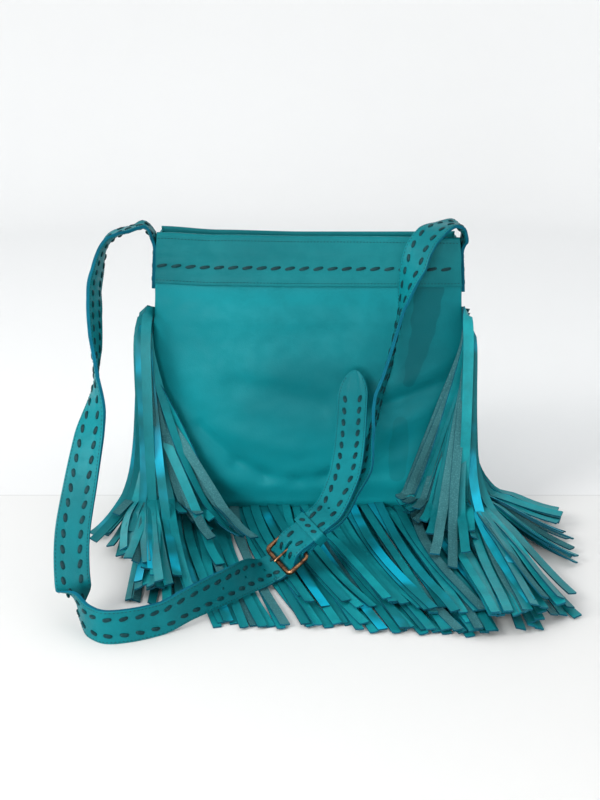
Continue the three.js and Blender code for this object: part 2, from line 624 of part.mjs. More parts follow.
const LONG_RIBBON = new Ribbon([
  ...sewnStations(-1),
  ...LOOP_ROWS.map((row) => station(row, BAG_DEPTH / 2)),
  buckleStation(-BUCKLE_LENGTH, -UNDER_BAR, STRAP_THICKNESS, -BUCKLE_SIDE_PLAY * 2),
  buckleStation(-BUCKLE_LENGTH / 2, -UNDER_BAR, STRAP_THICKNESS),
  buckleStation(-BUCKLE_LENGTH / 4, -UNDER_BAR * 0.8, STRAP_THICKNESS),
  buckleStation(BUCKLE_LENGTH * 0.22, OVER_FOLD * 0.92, STRAP_THICKNESS),
  buckleStation(BUCKLE_LENGTH / 2, OVER_FOLD + CLEARANCE, STRAP_THICKNESS),
  buckleStation(KEEPER_OFFSET - KEEPER_LENGTH / 2 - 2, OVER_LAYERS + CLEARANCE, STRAP_THICKNESS),
  buckleStation(KEEPER_OFFSET + KEEPER_LENGTH / 2, OVER_LAYERS + CLEARANCE, STRAP_THICKNESS),
  buckleStation(KEEPER_OFFSET + KEEPER_LENGTH, OVER_LAYERS - CLEARANCE, STRAP_THICKNESS),
  ...TIP_ROWS.map((row) => station(row, BAG_DEPTH / 2 + PANEL_SWELL)),
]);

function wrapStations() {
  const stations = [];
  const steps = 6;
  for (let i = 0; i <= steps; i += 1) {
    const angle = Math.PI / 2 + (Math.PI * i) / steps;
    const along = BUCKLE_LENGTH / 2 + Math.cos(angle) * WRAP_RADIUS;
    stations.push(buckleStation(along, Math.sin(angle) * WRAP_RADIUS, FOLD_THICKNESS));
  }
  return stations;
}

const SHORT_RIBBON = new Ribbon([
  ...sewnStations(1),
  ...FALL_ROWS.map((row) => station(row, BAG_DEPTH / 2 + PANEL_SWELL)),
  buckleStation(KEEPER_OFFSET + KEEPER_LENGTH, FOLDED_LAYER - FOLD_THICKNESS, STRAP_THICKNESS),
  buckleStation(KEEPER_OFFSET + KEEPER_LENGTH / 2, FOLDED_LAYER, FOLD_THICKNESS),
  buckleStation(KEEPER_OFFSET - KEEPER_LENGTH / 2, FOLDED_LAYER, FOLD_THICKNESS),
  ...wrapStations(),
  buckleStation(KEEPER_OFFSET - KEEPER_LENGTH / 2, -FOLDED_LAYER, FOLD_THICKNESS),
  buckleStation(KEEPER_OFFSET + KEEPER_LENGTH / 2, -FOLDED_LAYER, FOLD_THICKNESS),
]);

function longStrapGeometry() {
  const atProng = LONG_RIBBON.lengthTo(LONG_RIBBON.nearest(BUCKLE_MIDDLE));
  const slotMiddle = buckleFrame(BUCKLE_LENGTH * 0.12);
  const slot = piercing(slotMiddle, BUCKLE_LENGTH * 0.68, SLOT_WIDTH, BUCKLE_WIRE * 3);
  const holes = [];
  for (let i = -HOLES_BEFORE_BUCKLE; i <= HOLES_AFTER_BUCKLE; i += 1) {
    const frame = LONG_RIBBON.frame(LONG_RIBBON.atLength(atProng + i * HOLE_SPACING));
    if (i !== 0) holes.push(piercing(frame, HOLE_DIAMETER, HOLE_DIAMETER, STRAP_THICKNESS));
  }
  return cut(ribbonGeometry(LONG_RIBBON, true), [...holes, slot]);
}

function shortStrapGeometry() {
  const slotLength = 2 * (WIRE_RADIUS + PRONG_DIAMETER + 3 * CLEARANCE);
  const slot = piercing(buckleFrame(BUCKLE_LENGTH / 2), slotLength, SLOT_WIDTH, WRAP_RADIUS * 2);
  return cut(ribbonGeometry(SHORT_RIBBON, false), [slot]);
}

function buckleFrame(along) {
  const { point } = buckleStation(along, 0, STRAP_THICKNESS);
  return { point, along: BUCKLE_ALONG, across: BUCKLE_ACROSS, out: BUCKLE_OUT };
}

// A round bar through a list of points, in the buckle's own frame
function barGeometry(points, radii, closes) {
  const sides = 8;
  const rings = points.map((point, i) => {
    const before = points[(i + points.length - 1) % points.length];
    const after = points[(i + 1) % points.length];
    const start = closes || i > 0 ? before : point;
    const end = closes || i < points.length - 1 ? after : point;
    const along = end.clone().sub(start).normalize();
    const up = Math.abs(along.z) > 0.9 ? new THREE.Vector3(1, 0, 0) : new THREE.Vector3(0, 0, 1);
    const side = closes ? along.clone().cross(up).normalize() : new THREE.Vector3(1, 0, 0);
    const out = side.clone().cross(along).normalize();
    const ring = [];
    for (let k = 0; k < sides; k += 1) {
      const angle = ((k + 0.5) / sides) * 2 * Math.PI;
      ring.push(point.clone().addScaledVector(side, Math.cos(angle) * radii[i])
        .addScaledVector(out, Math.sin(angle) * radii[i]));
    }
    return ring;
  });
  return loft(rings, closes);
}

// The frame is a round-cornered ring, with its outer bar thicker than the rest
function buckleFrameGeometry() {
  const halfAcross = STRAP_WIDTH / 2 + BUCKLE_SIDE_PLAY + WIRE_RADIUS;
  const halfAlong = BUCKLE_LENGTH / 2;
  const cornerSteps = 3;
  const points = [];
  const radii = [];
  const corners = [[1, 1], [-1, 1], [-1, -1], [1, -1]];
  corners.forEach(([sideX, sideY], quarter) => {
    for (let i = 0; i <= cornerSteps; i += 1) {
      const angle = (Math.PI / 2) * (quarter + i / cornerSteps);
      const x = sideX * (halfAcross - BUCKLE_CORNER) + BUCKLE_CORNER * Math.cos(angle);
      const y = sideY * (halfAlong - BUCKLE_CORNER) + BUCKLE_CORNER * Math.sin(angle);
      points.push(new THREE.Vector3(x, y, 0));
      radii.push(y < 0 ? WIRE_RADIUS * OUTER_BAR_FLARE : WIRE_RADIUS);
    }
  });
  return barGeometry(points, radii, true);
}

// The prong hooks round the pivot bar, passes up through the strap and lies on the outer bar
function prongGeometry() {
  const radius = PRONG_DIAMETER / 2;
  const hook = WIRE_RADIUS + CLEARANCE + radius;
  const points = [];
  const hookSteps = 7;
  for (let i = 0; i <= hookSteps; i += 1) {
    const angle = THREE.MathUtils.lerp(-Math.PI * 1.05, Math.PI * 0.5, i / hookSteps);
    const y = BUCKLE_LENGTH / 2 + Math.cos(angle) * hook;
    points.push(new THREE.Vector3(0, y, Math.sin(angle) * hook));
  }
  points.push(new THREE.Vector3(0, 0, THREE.MathUtils.lerp(hook, PRONG_HEIGHT, 0.5)));
  points.push(new THREE.Vector3(0, -BUCKLE_LENGTH / 2, PRONG_HEIGHT));
  points.push(new THREE.Vector3(0, -BUCKLE_LENGTH / 2 - PRONG_OVERHANG, PRONG_HEIGHT));
  const radii = points.map((point, i) => (i === points.length - 1 ? radius * 0.7 : radius));
  return barGeometry(points, radii, false);
}

function roundedRectangle(halfX, low, high, radius, Kind) {
  const path = new Kind();
  path.moveTo(-halfX + radius, low);
  path.lineTo(halfX - radius, low);
  path.absarc(halfX - radius, low + radius, radius, -Math.PI / 2, 0);
  path.lineTo(halfX, high - radius);
  path.absarc(halfX - radius, high - radius, radius, 0, Math.PI / 2);
  path.lineTo(-halfX + radius, high);
  path.absarc(-halfX + radius, high - radius, radius, Math.PI / 2, Math.PI);
  path.lineTo(-halfX, low + radius);
  path.absarc(-halfX + radius, low + radius, radius, Math.PI, Math.PI * 1.5);
  return path;
}

// The keeper is a flat leather loop round both straps
function keeperGeometry() {
  const halfX = STRAP_WIDTH / 2 + 2 * CLEARANCE;
  const low = -FOLDED_LAYER - FOLD_THICKNESS / 2 - 2 * CLEARANCE;
  const high = OVER_LAYERS + STRAP_THICKNESS / 2 + 2 * CLEARANCE;
  const wall = KEEPER_LEATHER;
  const shape = roundedRectangle(halfX + wall, low - wall, high + wall, wall * 1.2, THREE.Shape);
  shape.holes.push(roundedRectangle(halfX, low, high, wall * 0.3, THREE.Path));
  const options = { depth: KEEPER_LENGTH, bevelEnabled: false, curveSegments: 3 };
  const geometry = new THREE.ExtrudeGeometry(shape, options);
  geometry.translate(0, 0, -KEEPER_LENGTH / 2);
  geometry.rotateX(Math.PI / 2);
  return toGeometry(toSolid(geometry));
}

// Repeatable small differences between the locks
function waver(seed) {
  const value = Math.sin(seed * 12.9898) * 43758.5453;
  return (value - Math.floor(value)) * 2 - 1;
}

// The head of the fringe is caught in the seam between the front panel and the gusset
function headGeometry() {
  const back = SEAM_Y - CLEARANCE;
  const front = back - HEAD_THICKNESS;
  const rings = seamPlaces(6, 6, FRINGE_TOP).map((place) => {
    const { point, outward } = seamPoint(place, FRINGE_TOP);
    const proud = HEAD_PROUD * Math.abs(outward.x) - CLEARANCE * Math.abs(outward.z);
    const outer = point.clone().addScaledVector(outward, proud);
    const inner = point.clone().addScaledVector(outward, -HEAD_DEPTH);
    const corner = (base, y) => new THREE.Vector3(base.x, y, base.z);
    return [corner(outer, front), corner(outer, back), corner(inner, back), corner(inner, front)];
  });
  return loft(rings);
}

function lockPoints(fan, share, seed) {
  const place = THREE.MathUtils.lerp(fan.from, fan.to, share);
  const { point, outward } = seamPoint(place, FRINGE_TOP);
  const floor = LOCK_THICKNESS * (0.5 + fan.layer) + CLEARANCE;
  const rootY = SEAM_Y - CLEARANCE - HEAD_THICKNESS / 2;
  const tipX = THREE.MathUtils.lerp(...fan.tipX, share) * FRINGE_HALF_SPREAD;
  const tipY = -THREE.MathUtils.lerp(...fan.tipY, share) * FRINGE_REACH;
  const tip = new THREE.Vector3(tipX + waver(seed) * 4, tipY + waver(seed + 0.5) * 6, floor);
  const root = point.clone().addScaledVector(outward, -CLEARANCE * 3).setY(rootY);
  root.z = Math.max(root.z, floor);
  if (root.z < CORNER_RADIUS / 2) return { points: groundPoints(root, tip, floor, outward), outward };
  const side = Math.sign(place);
  const ahead = (mm) => rootY - mm;
  const shoulderOut = THREE.MathUtils.lerp(SHOULDER_LOW, SHOULDER_HIGH, root.z / FRINGE_TOP);
  const stand = side * fan.aside * shoulderOut;
  const exit = root.clone().addScaledVector(outward, HEAD_PROUD);
  const shoulder = exit.clone().add(new THREE.Vector3(stand * 0.7, 0, -1));
  shoulder.y = ahead(1 + fan.front * 0.16);
  const drop = exit.clone().add(new THREE.Vector3(stand, 0, -LOCK_WIDTH * 1.6));
  drop.y = ahead(1 + fan.front * 0.5);
  drop.z = Math.max(drop.z, floor);
  const half = drop.clone().lerp(tip, fan.flare);
  half.z = THREE.MathUtils.lerp(drop.z, floor, 0.5);
  half.y = Math.min(half.y, ahead(fan.front));
  const toe = drop.clone().lerp(tip, 0.62);
  toe.z = THREE.MathUtils.lerp(floor, drop.z, 0.08);
  toe.y = Math.min(toe.y, ahead(fan.front));
  return { points: [root, exit, shoulder, drop, half, toe, tip], outward };
}

// A lock that starts under the bag passes out below the panel's edge and lies on the floor
function groundPoints(root, tip, floor, outward) {
  const exit = root.clone().addScaledVector(outward, HEAD_PROUD + CLEARANCE);
  exit.z = Math.max(exit.z, floor);
  exit.y -= CLEARANCE;
  const ahead = exit.clone().setY(exit.y - HEAD_THICKNESS * 3);
  const middle = root.clone().lerp(tip, 0.5);
  middle.x = THREE.MathUtils.lerp(root.x, tip.x, 0.4);
  middle.z = floor;
  return [root, exit, ahead, middle, tip];
}

function lockGeometry(fan, share, seed) {
  const { points, outward } = lockPoints(fan, share, seed);
  const curve = new THREE.CatmullRomCurve3(points, false, "centripetal");
  const first = new THREE.Vector3(-outward.z, 0, outward.x);
  const exit = ROOT_LENGTH / curve.getLength();
  const steps = points.length > 5 ? LOCK_STEPS : GROUND_STEPS;
  const rings = [];
  for (let i = -1; i <= steps; i += 1) {
    const at = i < 0 ? 0 : THREE.MathUtils.lerp(exit, 1, i / steps);
    const along = curve.getTangentAt(at);
    const level = new THREE.Vector3(-along.y, along.x, 0);
    if (level.x < 0) level.negate();
    const turned = THREE.MathUtils.smoothstep(at, 0, 0.35);
    const across = first.clone().lerp(level.normalize(), turned);
    across.addScaledVector(along, -across.dot(along)).normalize();
    const out = across.clone().cross(along).normalize();
    const width = LOCK_WIDTH * THREE.MathUtils.lerp(1, 0.86, at);
    const thickness = i < 1 ? HEAD_THICKNESS - 2 * CLEARANCE : LOCK_THICKNESS;
    const middle = curve.getPointAt(at);
    const low = (Math.abs(across.z) * width + Math.abs(out.z) * thickness) / 2 + CLEARANCE;
    middle.z = Math.max(middle.z, low);
    const corner = (a, b) => middle.clone().addScaledVector(across, (a * width) / 2)
      .addScaledVector(out, (b * thickness) / 2);
    rings.push([corner(-1, 1), corner(1, 1), corner(1, -1), corner(-1, -1)]);
  }
  return loft(rings);
}

function fringeGeometry() {
  const locks = FANS.flatMap((fan, fanIndex) => Array.from({ length: fan.count }, (_, i) => (
    lockGeometry(fan, fan.count > 1 ? i / (fan.count - 1) : 0.5, fanIndex * 31 + i)
  )));
  return withoutHollows(joined([headGeometry(), ...locks]));
}

const bag = new THREE.Group();
bag.add(namedMesh("gusset", gussetGeometry(), TEAL));
bag.add(namedMesh("front_panel", panelGeometry(-1), TEAL));
bag.add(namedMesh("back_panel", panelGeometry(1), TEAL));
bag.add(namedMesh("front_band", bandGeometry(-1), TEAL));
bag.add(namedMesh("back_band", bandGeometry(1), TEAL));
bag.add(namedMesh("fringe", fringeGeometry(), FRINGE_TEAL));
bag.add(namedMesh("strap_long", longStrapGeometry(), STRAP_TEAL));
bag.add(namedMesh("strap_short", shortStrapGeometry(), STRAP_TEAL));

const buckle = new THREE.Group();
buckle.position.copy(BUCKLE_MIDDLE);
const buckleAxes = new THREE.Matrix4().makeBasis(BUCKLE_ACROSS, BUCKLE_ALONG, BUCKLE_OUT);
buckle.quaternion.setFromRotationMatrix(buckleAxes);
buckle.add(namedMesh("buckle_frame", buckleFrameGeometry(), BRASS));
buckle.add(namedMesh("buckle_prong", prongGeometry(), BRASS));
const keeper = namedMesh("keeper", keeperGeometry(), STRAP_TEAL);
keeper.position.set(0, KEEPER_OFFSET, 0);
buckle.add(keeper);
bag.add(buckle);

export default bag;
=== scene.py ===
"""A soft leather shoulder bag with a long fringe and a buckled strap, dressed over its solids.

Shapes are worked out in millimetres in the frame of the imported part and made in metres.
"""
import math
import random

import bpy
import numpy as np
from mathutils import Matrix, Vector


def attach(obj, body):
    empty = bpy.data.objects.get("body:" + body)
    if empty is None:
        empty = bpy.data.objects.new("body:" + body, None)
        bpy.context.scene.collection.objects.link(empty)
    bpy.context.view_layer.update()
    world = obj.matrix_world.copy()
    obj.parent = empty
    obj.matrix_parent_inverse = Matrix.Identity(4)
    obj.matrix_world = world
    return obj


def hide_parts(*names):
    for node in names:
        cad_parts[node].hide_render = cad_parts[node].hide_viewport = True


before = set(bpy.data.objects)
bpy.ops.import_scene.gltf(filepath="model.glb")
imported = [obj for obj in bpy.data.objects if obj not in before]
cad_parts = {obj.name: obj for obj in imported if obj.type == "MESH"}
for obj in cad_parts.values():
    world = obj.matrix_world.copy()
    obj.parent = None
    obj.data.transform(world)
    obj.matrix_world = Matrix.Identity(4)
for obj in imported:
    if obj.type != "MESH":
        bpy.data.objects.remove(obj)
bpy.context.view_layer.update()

MM = 0.001

# Sizes of the bag, as in the part's own source
BAG_HEIGHT = 277
TOP_HALF_WIDTH = 142
SIDE_SPREAD = 8
CORNER_RADIUS = 34
BAG_DEPTH = 34
PANEL_SWELL = 13
RIM_RISE = 5
LEATHER = 1.8
CLEARANCE = 0.3
PANEL_LIFT = 4.2
BAND_HEIGHT = 47
BAND_LEATHER = 1.6
BAND_CLEARANCE = 0.5
STRAP_WIDTH = 29
STRAP_THICKNESS = 3.2
FOLD_THICKNESS = 2
STRAP_REACH = 266
SEWN_BOTTOM = 224
SEWN_BELOW_RIM = 14
TIP_LENGTH = 27
HOLE_DIAMETER = 2.4
HOLE_SPACING = 29
HOLES_BEFORE_BUCKLE = 3
HOLES_AFTER_BUCKLE = 2
BUCKLE_WIRE = 3.6
BUCKLE_LENGTH = 22
BUCKLE_SIDE_PLAY = 2
BUCKLE_CORNER = 4
OUTER_BAR_FLARE = 1.25
PRONG_DIAMETER = 2.2
PRONG_OVERHANG = 2.5
KEEPER_LENGTH = 12
KEEPER_LEATHER = 2
KEEPER_OFFSET = 29
FRINGE_TOP = 205
HEAD_THICKNESS = 2
HEAD_DEPTH = 8
HEAD_PROUD = 3
LOCK_WIDTH = 11
FRINGE_HALF_SPREAD = 240
FRINGE_REACH = 277
SHOULDER_LOW = 3
SHOULDER_HIGH = 11

# The side's curve, the panel's swell and the rim's rise: place and amount, both as shares
SIDE_ROWS = [(0.0, 0.95), (0.25, 1.15), (0.6, 1.0), (0.8, 0.5), (0.92, 0.25), (1.0, 0.0)]
SWELL_ROWS = [
    (0.0, 0.1), (0.05, 0.45), (0.14, 0.85), (0.3, 1.0), (0.5, 0.92),
    (0.7, 0.6), (0.84, 0.1), (0.93, -0.25), (1.0, -0.45),
]
RIM_ROWS = [(-1.0, 1.0), (-0.6, 0.4), (0.0, 0.1), (1.0, 0.0)]

# Soft folds: from across and up, to across and up, half width and depth, in the part's shares
FRONT_FOLDS = [
    (0.52, 0.33, 1.0, 0.46, 0.06, 0.16),
    (0.55, 0.25, 1.0, 0.37, 0.08, -0.2),
    (-1.0, 0.52, -0.35, 0.16, 0.1, -0.18),
    (-0.6, 0.33, -0.1, 0.25, 0.07, 0.1),
    (0.0, 0.12, 0.6, 0.17, 0.08, -0.12),
    (-0.7, 0.62, 0.2, 0.68, 0.12, -0.1),
]
# Finer folds of the skin alone, in the same columns
SKIN_FOLDS = [
    (0.45, 0.4, 0.95, 0.5, 0.055, -0.3),
    (0.45, 0.46, 1.0, 0.58, 0.06, 0.14),
    (-0.75, 0.33, -0.5, 0.2, 0.055, -0.2),
    (-0.5, 0.2, -0.3, 0.145, 0.055, -0.17),
    (-0.3, 0.145, -0.08, 0.125, 0.055, -0.17),
    (-0.08, 0.125, 0.12, 0.14, 0.055, -0.16),
    (0.12, 0.14, 0.3, 0.2, 0.055, -0.14),
    (-0.5, 0.5, 0.1, 0.42, 0.09, -0.2),
]
BACK_FOLDS = [
    (-0.9, 0.35, -0.2, 0.2, 0.1, -0.16),
    (0.3, 0.55, 0.9, 0.62, 0.1, -0.14),
]

# Darker patches of dye on the front: across and up of points on their middle line, half width
RIGHT_STAIN = [
    (114, 226, 14), (111, 200, 12.5), (108, 181, 11),
    (105, 166, 9.5), (100, 150, 7), (97, 140, 5),
]
LOW_OVAL = [(90, 98, 7), (89, 70, 10), (88, 44, 8)]

# The strap's free stretches: across, ahead, up and stand in the part's shares, then the way
# across the strap
LOOP_ROWS = [
    (-1.052, -0.058, 1.004, 0, 0, -1, 0),
    (-1.09, -0.043, 1.027, 0, 0, -1, 0),
    (-1.14, -0.026, 1.03, 0, 0, -1, 0.1),
    (-1.251, 0.026, 1.017, 0, 0, -1, -0.1),
    (-1.306, 0.086, 0.989, 0, -0.05, -1, -0.2),
    (-1.335, 0.25, 0.9, 0, -0.06, -0.97, 0),
    (-1.32, 0.35, 0.835, 0, -0.08, -0.95, 0),
    (-1.29, 0.455, 0.746, 0, -0.05, -0.96, 0),
    (-1.27, 0.54, 0.64, 0, 0.25, -0.95, 0),
    (-1.273, 0.59, 0.565, 0, 0.66, -0.72, 0),
    (-1.296, 0.624, 0.503, 0, 0.88, -0.48, 0),
    (-1.338, 0.695, 0.375, 0, 0.98, -0.2, 0),
    (-1.374, 0.77, 0.244, 0, 0.97, -0.1, -0.2),
    (-1.37, 0.822, 0.158, 0, 0.85, -0.25, -0.45),
    (-1.35, 0.86, 0.1, 0, 0.6, -0.35, -0.7),
    (-1.305, 0.905, 0.02, 0.48, 0.25, -0.2, -0.95),
    (-1.235, 0.96, 0, 0.5, 0, 0, -1),
    (-1.14, 0.995, 0, 0.5, 0, 0, -1),
    (-1.0, 0.985, 0, 0.5, 0, 0, -1),
    (-0.84, 0.945, 0, 0.5, 0, 0, -1),
    (-0.683, 0.882, 0, 0.66, 0, -0.08, -1),
    (-0.48, 0.775, 0, 0.7, 0.12, -0.28, -0.95),
    (-0.358, 0.683, 0.01, 0.5, 0.3, -0.58, -0.74),
]
# The same columns for the long strap beyond the keeper
TIP_ROWS = [
    (0.13, 0.47, 0.22, 0, 0.62, -0.72, -0.2),
    (0.218, 0.384, 0.289, 0, 0.8, -0.5, -0.1),
    (0.258, 0.286, 0.351, 0, 0.9, -0.4, 0),
    (0.279, 0.196, 0.416, 0, 0.9, -0.36, 0),
    (0.295, 0.118, 0.487, 0, 0.92, -0.3, 0),
    (0.312, 0.066, 0.562, 0, 0.94, -0.2, 0),
]
# The same columns for the short strap, down to the keeper
FALL_ROWS = [
    (1.045, -0.108, 0.99, 0, 0, -1, 0),
    (0.995, -0.082, 1.032, 0, 0, -1, 0),
    (0.9, -0.045, 1.041, 0, 0.1, -1, 0),
    (0.799, 0.0, 1.022, 0, 0.5, -0.8, -0.3),
    (0.722, 0.028, 0.975, 0, 0.7, -0.65, -0.25),
    (0.689, 0.04, 0.924, 0, 0.7, -0.65, -0.2),
    (0.656, 0.048, 0.874, 0, 0.5, -0.83, 0),
    (0.611, 0.063, 0.774, 0, 0, -1, 0),
    (0.587, 0.072, 0.72, 0, -0.05, -1, 0),
    (0.525, 0.09, 0.571, 0, -0.3, -0.95, 0),
    (0.468, 0.113, 0.485, 0, -0.35, -0.93, 0),
    (0.43, 0.155, 0.4, 0, -0.2, -0.95, 0),
    (0.392, 0.2, 0.351, 0, 0, -0.98, 0),
    (0.334, 0.28, 0.29, 0, 0.25, -0.9, -0.1),
    (0.235, 0.372, 0.248, 0, 0.55, -0.8, -0.2),
    (0.152, 0.455, 0.204, 0, 0.6, -0.75, -0.22),
]
# Where the buckle lies, in the same shares, and which way it runs and leans
BUCKLE_PLACE = (-0.134, 0.6015, 0.101)
BUCKLE_ALONG = np.array((0.734, 0.296, 0.611)) / np.linalg.norm((0.734, 0.296, 0.611))
BUCKLE_LEAN = np.array((0.54, -0.8, -0.26))

# The fans of the fringe: from and to along the seam, tips across and ahead in the part's shares,
# how straight the strips lead to their tips, sideways shoulder, distance ahead of the seam at
# both ends of the fan, number of strips, looseness, share that lies flesh side up, tip height
FANS = [
    (-0.36, 0.34, (-0.33, 0.62), (0.94, 1.0), 0.5, 0, (0, 0), 46, 1.0, 0.12, 1),
    (-0.36, 0.36, (-0.36, 0.64), (0.8, 0.95), 0.5, 0, (0, 0), 30, 1.2, 0.15, 1),
    (0.36, 0.58, (0.6, 0.76), (0.99, 0.97), 0.3, 0.7, (8, 10), 14, 1.0, 0.12, 1),
    (-0.6, -0.38, (-0.64, -0.36), (0.78, 0.86), 0.3, 0.7, (10, 10), 20, 0.9, 0.2, 1),
    (0.6, 0.84, (0.72, 0.9), (0.98, 0.88), 0.15, 0.5, (20, 10), 14, 0.8, 0.1, 1),
    (0.78, 1.0, (0.99, 1.03), (0.58, 0.18), 0.1, 0.25, (12, 1), 15, 0.7, 0.1, 1),
    (-1.0, -0.88, (-0.84, -0.72), (0.36, 0.5), 0.3, 1, (1, 4), 5, 0.6, 0.4, 1),
    (-0.92, -0.6, (-0.7, -0.5), (0.6, 0.84), 0.16, 1, (8, 14), 11, 0.9, 0.25, 1),
    (-0.97, -0.62, (-0.25, -0.52), (0.42, 0.3), 0.85, 0.1, (28, 17), 6, 1.0, 0.2, 2),
    (0.98, 0.66, (0.36, 0.62), (0.24, 0.5), 0.85, 0.1, (32, 17), 11, 1.0, 0.15, 5),
]
# Strips that show one by one: place on the seam, tip, how straight, sideways shoulder,
# distance ahead of the seam, width, twist, flesh side up, tone; the highest tones also take the
# painted cyan highlight
SINGLE_STRIPS = [
    (-0.97, (-182, -91, 1.5), 0.3, 1.15, 8, 8, 0.3, 1, 0.3),
    (-0.985, (-197, -130, 1.5), 0.12, 1.2, 13, 8.4, 0.4, 0, 0.75),
    (-0.96, (-161, -132, 3), 0.2, 1.0, 20, 8, 0.1, 0, 1.0),
    (-0.7, (-66, -100, 5), 0.9, 0, 19, 8.8, 0, 0, 0.7),
    (-0.76, (-57, -116, 5), 0.88, 0, 21, 8.8, 0, 1, 0.6),
    (-0.82, (-50, -127, 6), 0.84, 0, 24, 9.2, 0.1, 1, 0.2),
    (-0.78, (-79, -162, 6), 0.78, 0.1, 26, 9, 0, 0, 0.3),
    (-0.84, (-89, -128, 7), 0.72, 0.1, 28, 9, -0.2, 1, 0.8),
    (-0.88, (-103, -89, 8), 0.64, 0.1, 30, 9, 0, 1, 0.1),
    (-0.92, (-119, -86, 8), 0.52, 0.2, 33, 9, 0.2, 0, 0.72),
    (-0.95, (-133, -60, 10), 0.4, 0.3, 35, 9.2, 0, 1, 0.3),
    (-0.93, (-112, -207, 7), 0.35, 0.1, 34, 8.6, 0.2, 0, 0.95),
    (-1.0, (-151, -66, 10), 0.7, 0.35, 43, 9.6, 0, 0, 0.6),
    (0.9, (221, -219, 2), 0.1, 0.6, 18, 8.4, 0.1, 0, 0.5),
    (0.97, (88, -46, 15), 1, 0, 21, 9.2, 0, 1, 0.5),
    (0.94, (88, -54, 11), 1, 0, 24, 9.6, 0.1, 1, 0.2),
    (0.9, (94, -64, 8), 1, 0, 26, 9.2, 0, 1, 0.7),
    (0.86, (103, -76, 6), 1, 0, 28, 9.2, 0, 1, 0.3),
    (0.89, (112, -120, 6), 0.85, 0, 29, 9, 0, 0, 0.75),
    (0.92, (112, -158, 6), 0.7, 0.1, 31, 9.6, 0, 1, 0.2),
    (0.94, (125, -180, 5), 0.6, 0, 33, 9.2, 0.2, 1, 0.6),
    (0.96, (139, -162, 6), 0.45, 0.05, 36, 9, -0.2, 0, 0.7),
    (0.97, (174, -195, 4), 0.2, 0.5, 33, 9.2, 0.1, 0, 0.95),
    (1.0, (150, -66, 12), 0.6, 0.12, 43, 10, 0, 0, 0.05),
]
# How much of its straightness a hanging strip has in its way ahead
AHEAD_SHARE = 0.45
# How far a hanging strip has gone towards its tip at each share of its height
FALL_SHARES = [(0.62, 0.01), (0.36, 0.04), (0.2, 0.15), (0.08, 0.42), (0.02, 0.72)]

# Sizes that follow from those above
SEAM_Y = -BAG_DEPTH / 2
PANEL_BACK_Y = SEAM_Y - CLEARANCE - HEAD_THICKNESS - CLEARANCE
RIM_FOLD_RADIUS = LEATHER / 2 + BAND_CLEARANCE + BAND_LEATHER
PANEL_TOP = BAG_HEIGHT - RIM_FOLD_RADIUS
BAND_BOTTOM = BAG_HEIGHT - BAND_HEIGHT
HEAD_TOP = FRINGE_TOP + LOCK_WIDTH / 2 + CLEARANCE
WIRE_RADIUS = BUCKLE_WIRE / 2
WRAP_RADIUS = WIRE_RADIUS + CLEARANCE + FOLD_THICKNESS / 2
FOLDED_LAYER = FOLD_THICKNESS / 2 + CLEARANCE
OVER_FOLD = WRAP_RADIUS + FOLD_THICKNESS / 2 + CLEARANCE + STRAP_THICKNESS / 2
OVER_LAYERS = FOLDED_LAYER + FOLD_THICKNESS / 2 + CLEARANCE + STRAP_THICKNESS / 2
UNDER_BAR = WIRE_RADIUS * OUTER_BAR_FLARE + CLEARANCE + STRAP_THICKNESS / 2
PRONG_HEIGHT = WIRE_RADIUS * OUTER_BAR_FLARE + CLEARANCE + PRONG_DIAMETER / 2
SLOT_WIDTH = PRONG_DIAMETER + 4 * CLEARANCE

# The visible pieces' own detail, in millimetres and degrees
PANEL_COLUMNS = 150
PANEL_CELL = 1.9
PANEL_EDGE_TURNS = (10, 32, 58, 90)
BAND_EDGE_TURNS = (12, 45, 90)
BAND_COLUMNS = 170
LACE_PITCH = 13.2
LACE_LENGTH = 10.2
LACE_WIDTH = 3.3
LACE_SLANT = 13
LACE_ABOVE_EDGE = 17
FINE_PITCH = 3.1
FINE_LENGTH = 2.4
FINE_WIDTH = 0.75
STRAP_LACE_PITCH = 12.5
STRAP_LACE_LENGTH = 7.6
STRAP_LACE_WIDTH = 3.6
STRAP_LACE_SLANT = 12
KEEPER_LACE_SLANT = 60
STRAP_LACE_INSET = 7.4
STRAP_FINE_INSET = 1.7
RIBBON_STEP = 2.6
RIBBON_SAMPLES = 6001
STRIP_WIDTH = 8.4
STRIP_THICKNESS = 1.4
STRIP_STATIONS = 34
STRIP_TRIES = 8
LOWEST_STRIP = STRIP_THICKNESS * 0.6
# The map of what lies low: its corners and cells, and the heights that count as low
GROUND_LOW = (-280.0, -330.0)
GROUND_HIGH = (280.0, 40.0)
GROUND_CELL = 2.0
GROUND_TOP = 26
CEILING_TOP = 70
CEILING_STEP = 1.5
NO_CEILING = 999.0
LAY_ROUNDS = 40

# What the draw may change on a strip of a fan
PLACE_JITTER = 0.25
WIDTH_SHARES = (0.9, 1.08)
HANGING_YAW = 0.22
HANGING_TWISTS = (0, 0.25, -0.25, 0.45, -0.45)
FLAT_TWIST = 0.07
CURLS = (-0.15, 0.6)
MIDDLE_SWAY = 28
BOW_ACROSS = 4
BOW_AHEAD = 3
TIP_AHEAD = 7

# Stitches: distances from the ends, the edges, the buckle's bar and the keeper
BAND_LACE_ENDS = (6, 4)
BAND_SEAM_END = 2
SEAM_ABOVE_EDGE = 3.4
SEAM_BELOW_RIM = 2.2
FIRST_STITCH = 8
LAST_STITCH = 6
LACE_BEFORE_BAR = 14
LACE_AFTER_BAR = 3
LACE_AFTER_KEEPER = 12
KEEPER_LACES = (-9, 0, 9)
# The long strap's slot, in shares of the buckle's length
SLOT_PLACE = 0.12
SLOT_SHARE = 0.68

# Small relief of the panels: depth, stretch, size and seed
WRINKLES = [(0.28, 1, 62, 21), (0.12, 1.5, 24, 31)]
SHARP_DEGREES = 42
NO_STAIN = -99.0

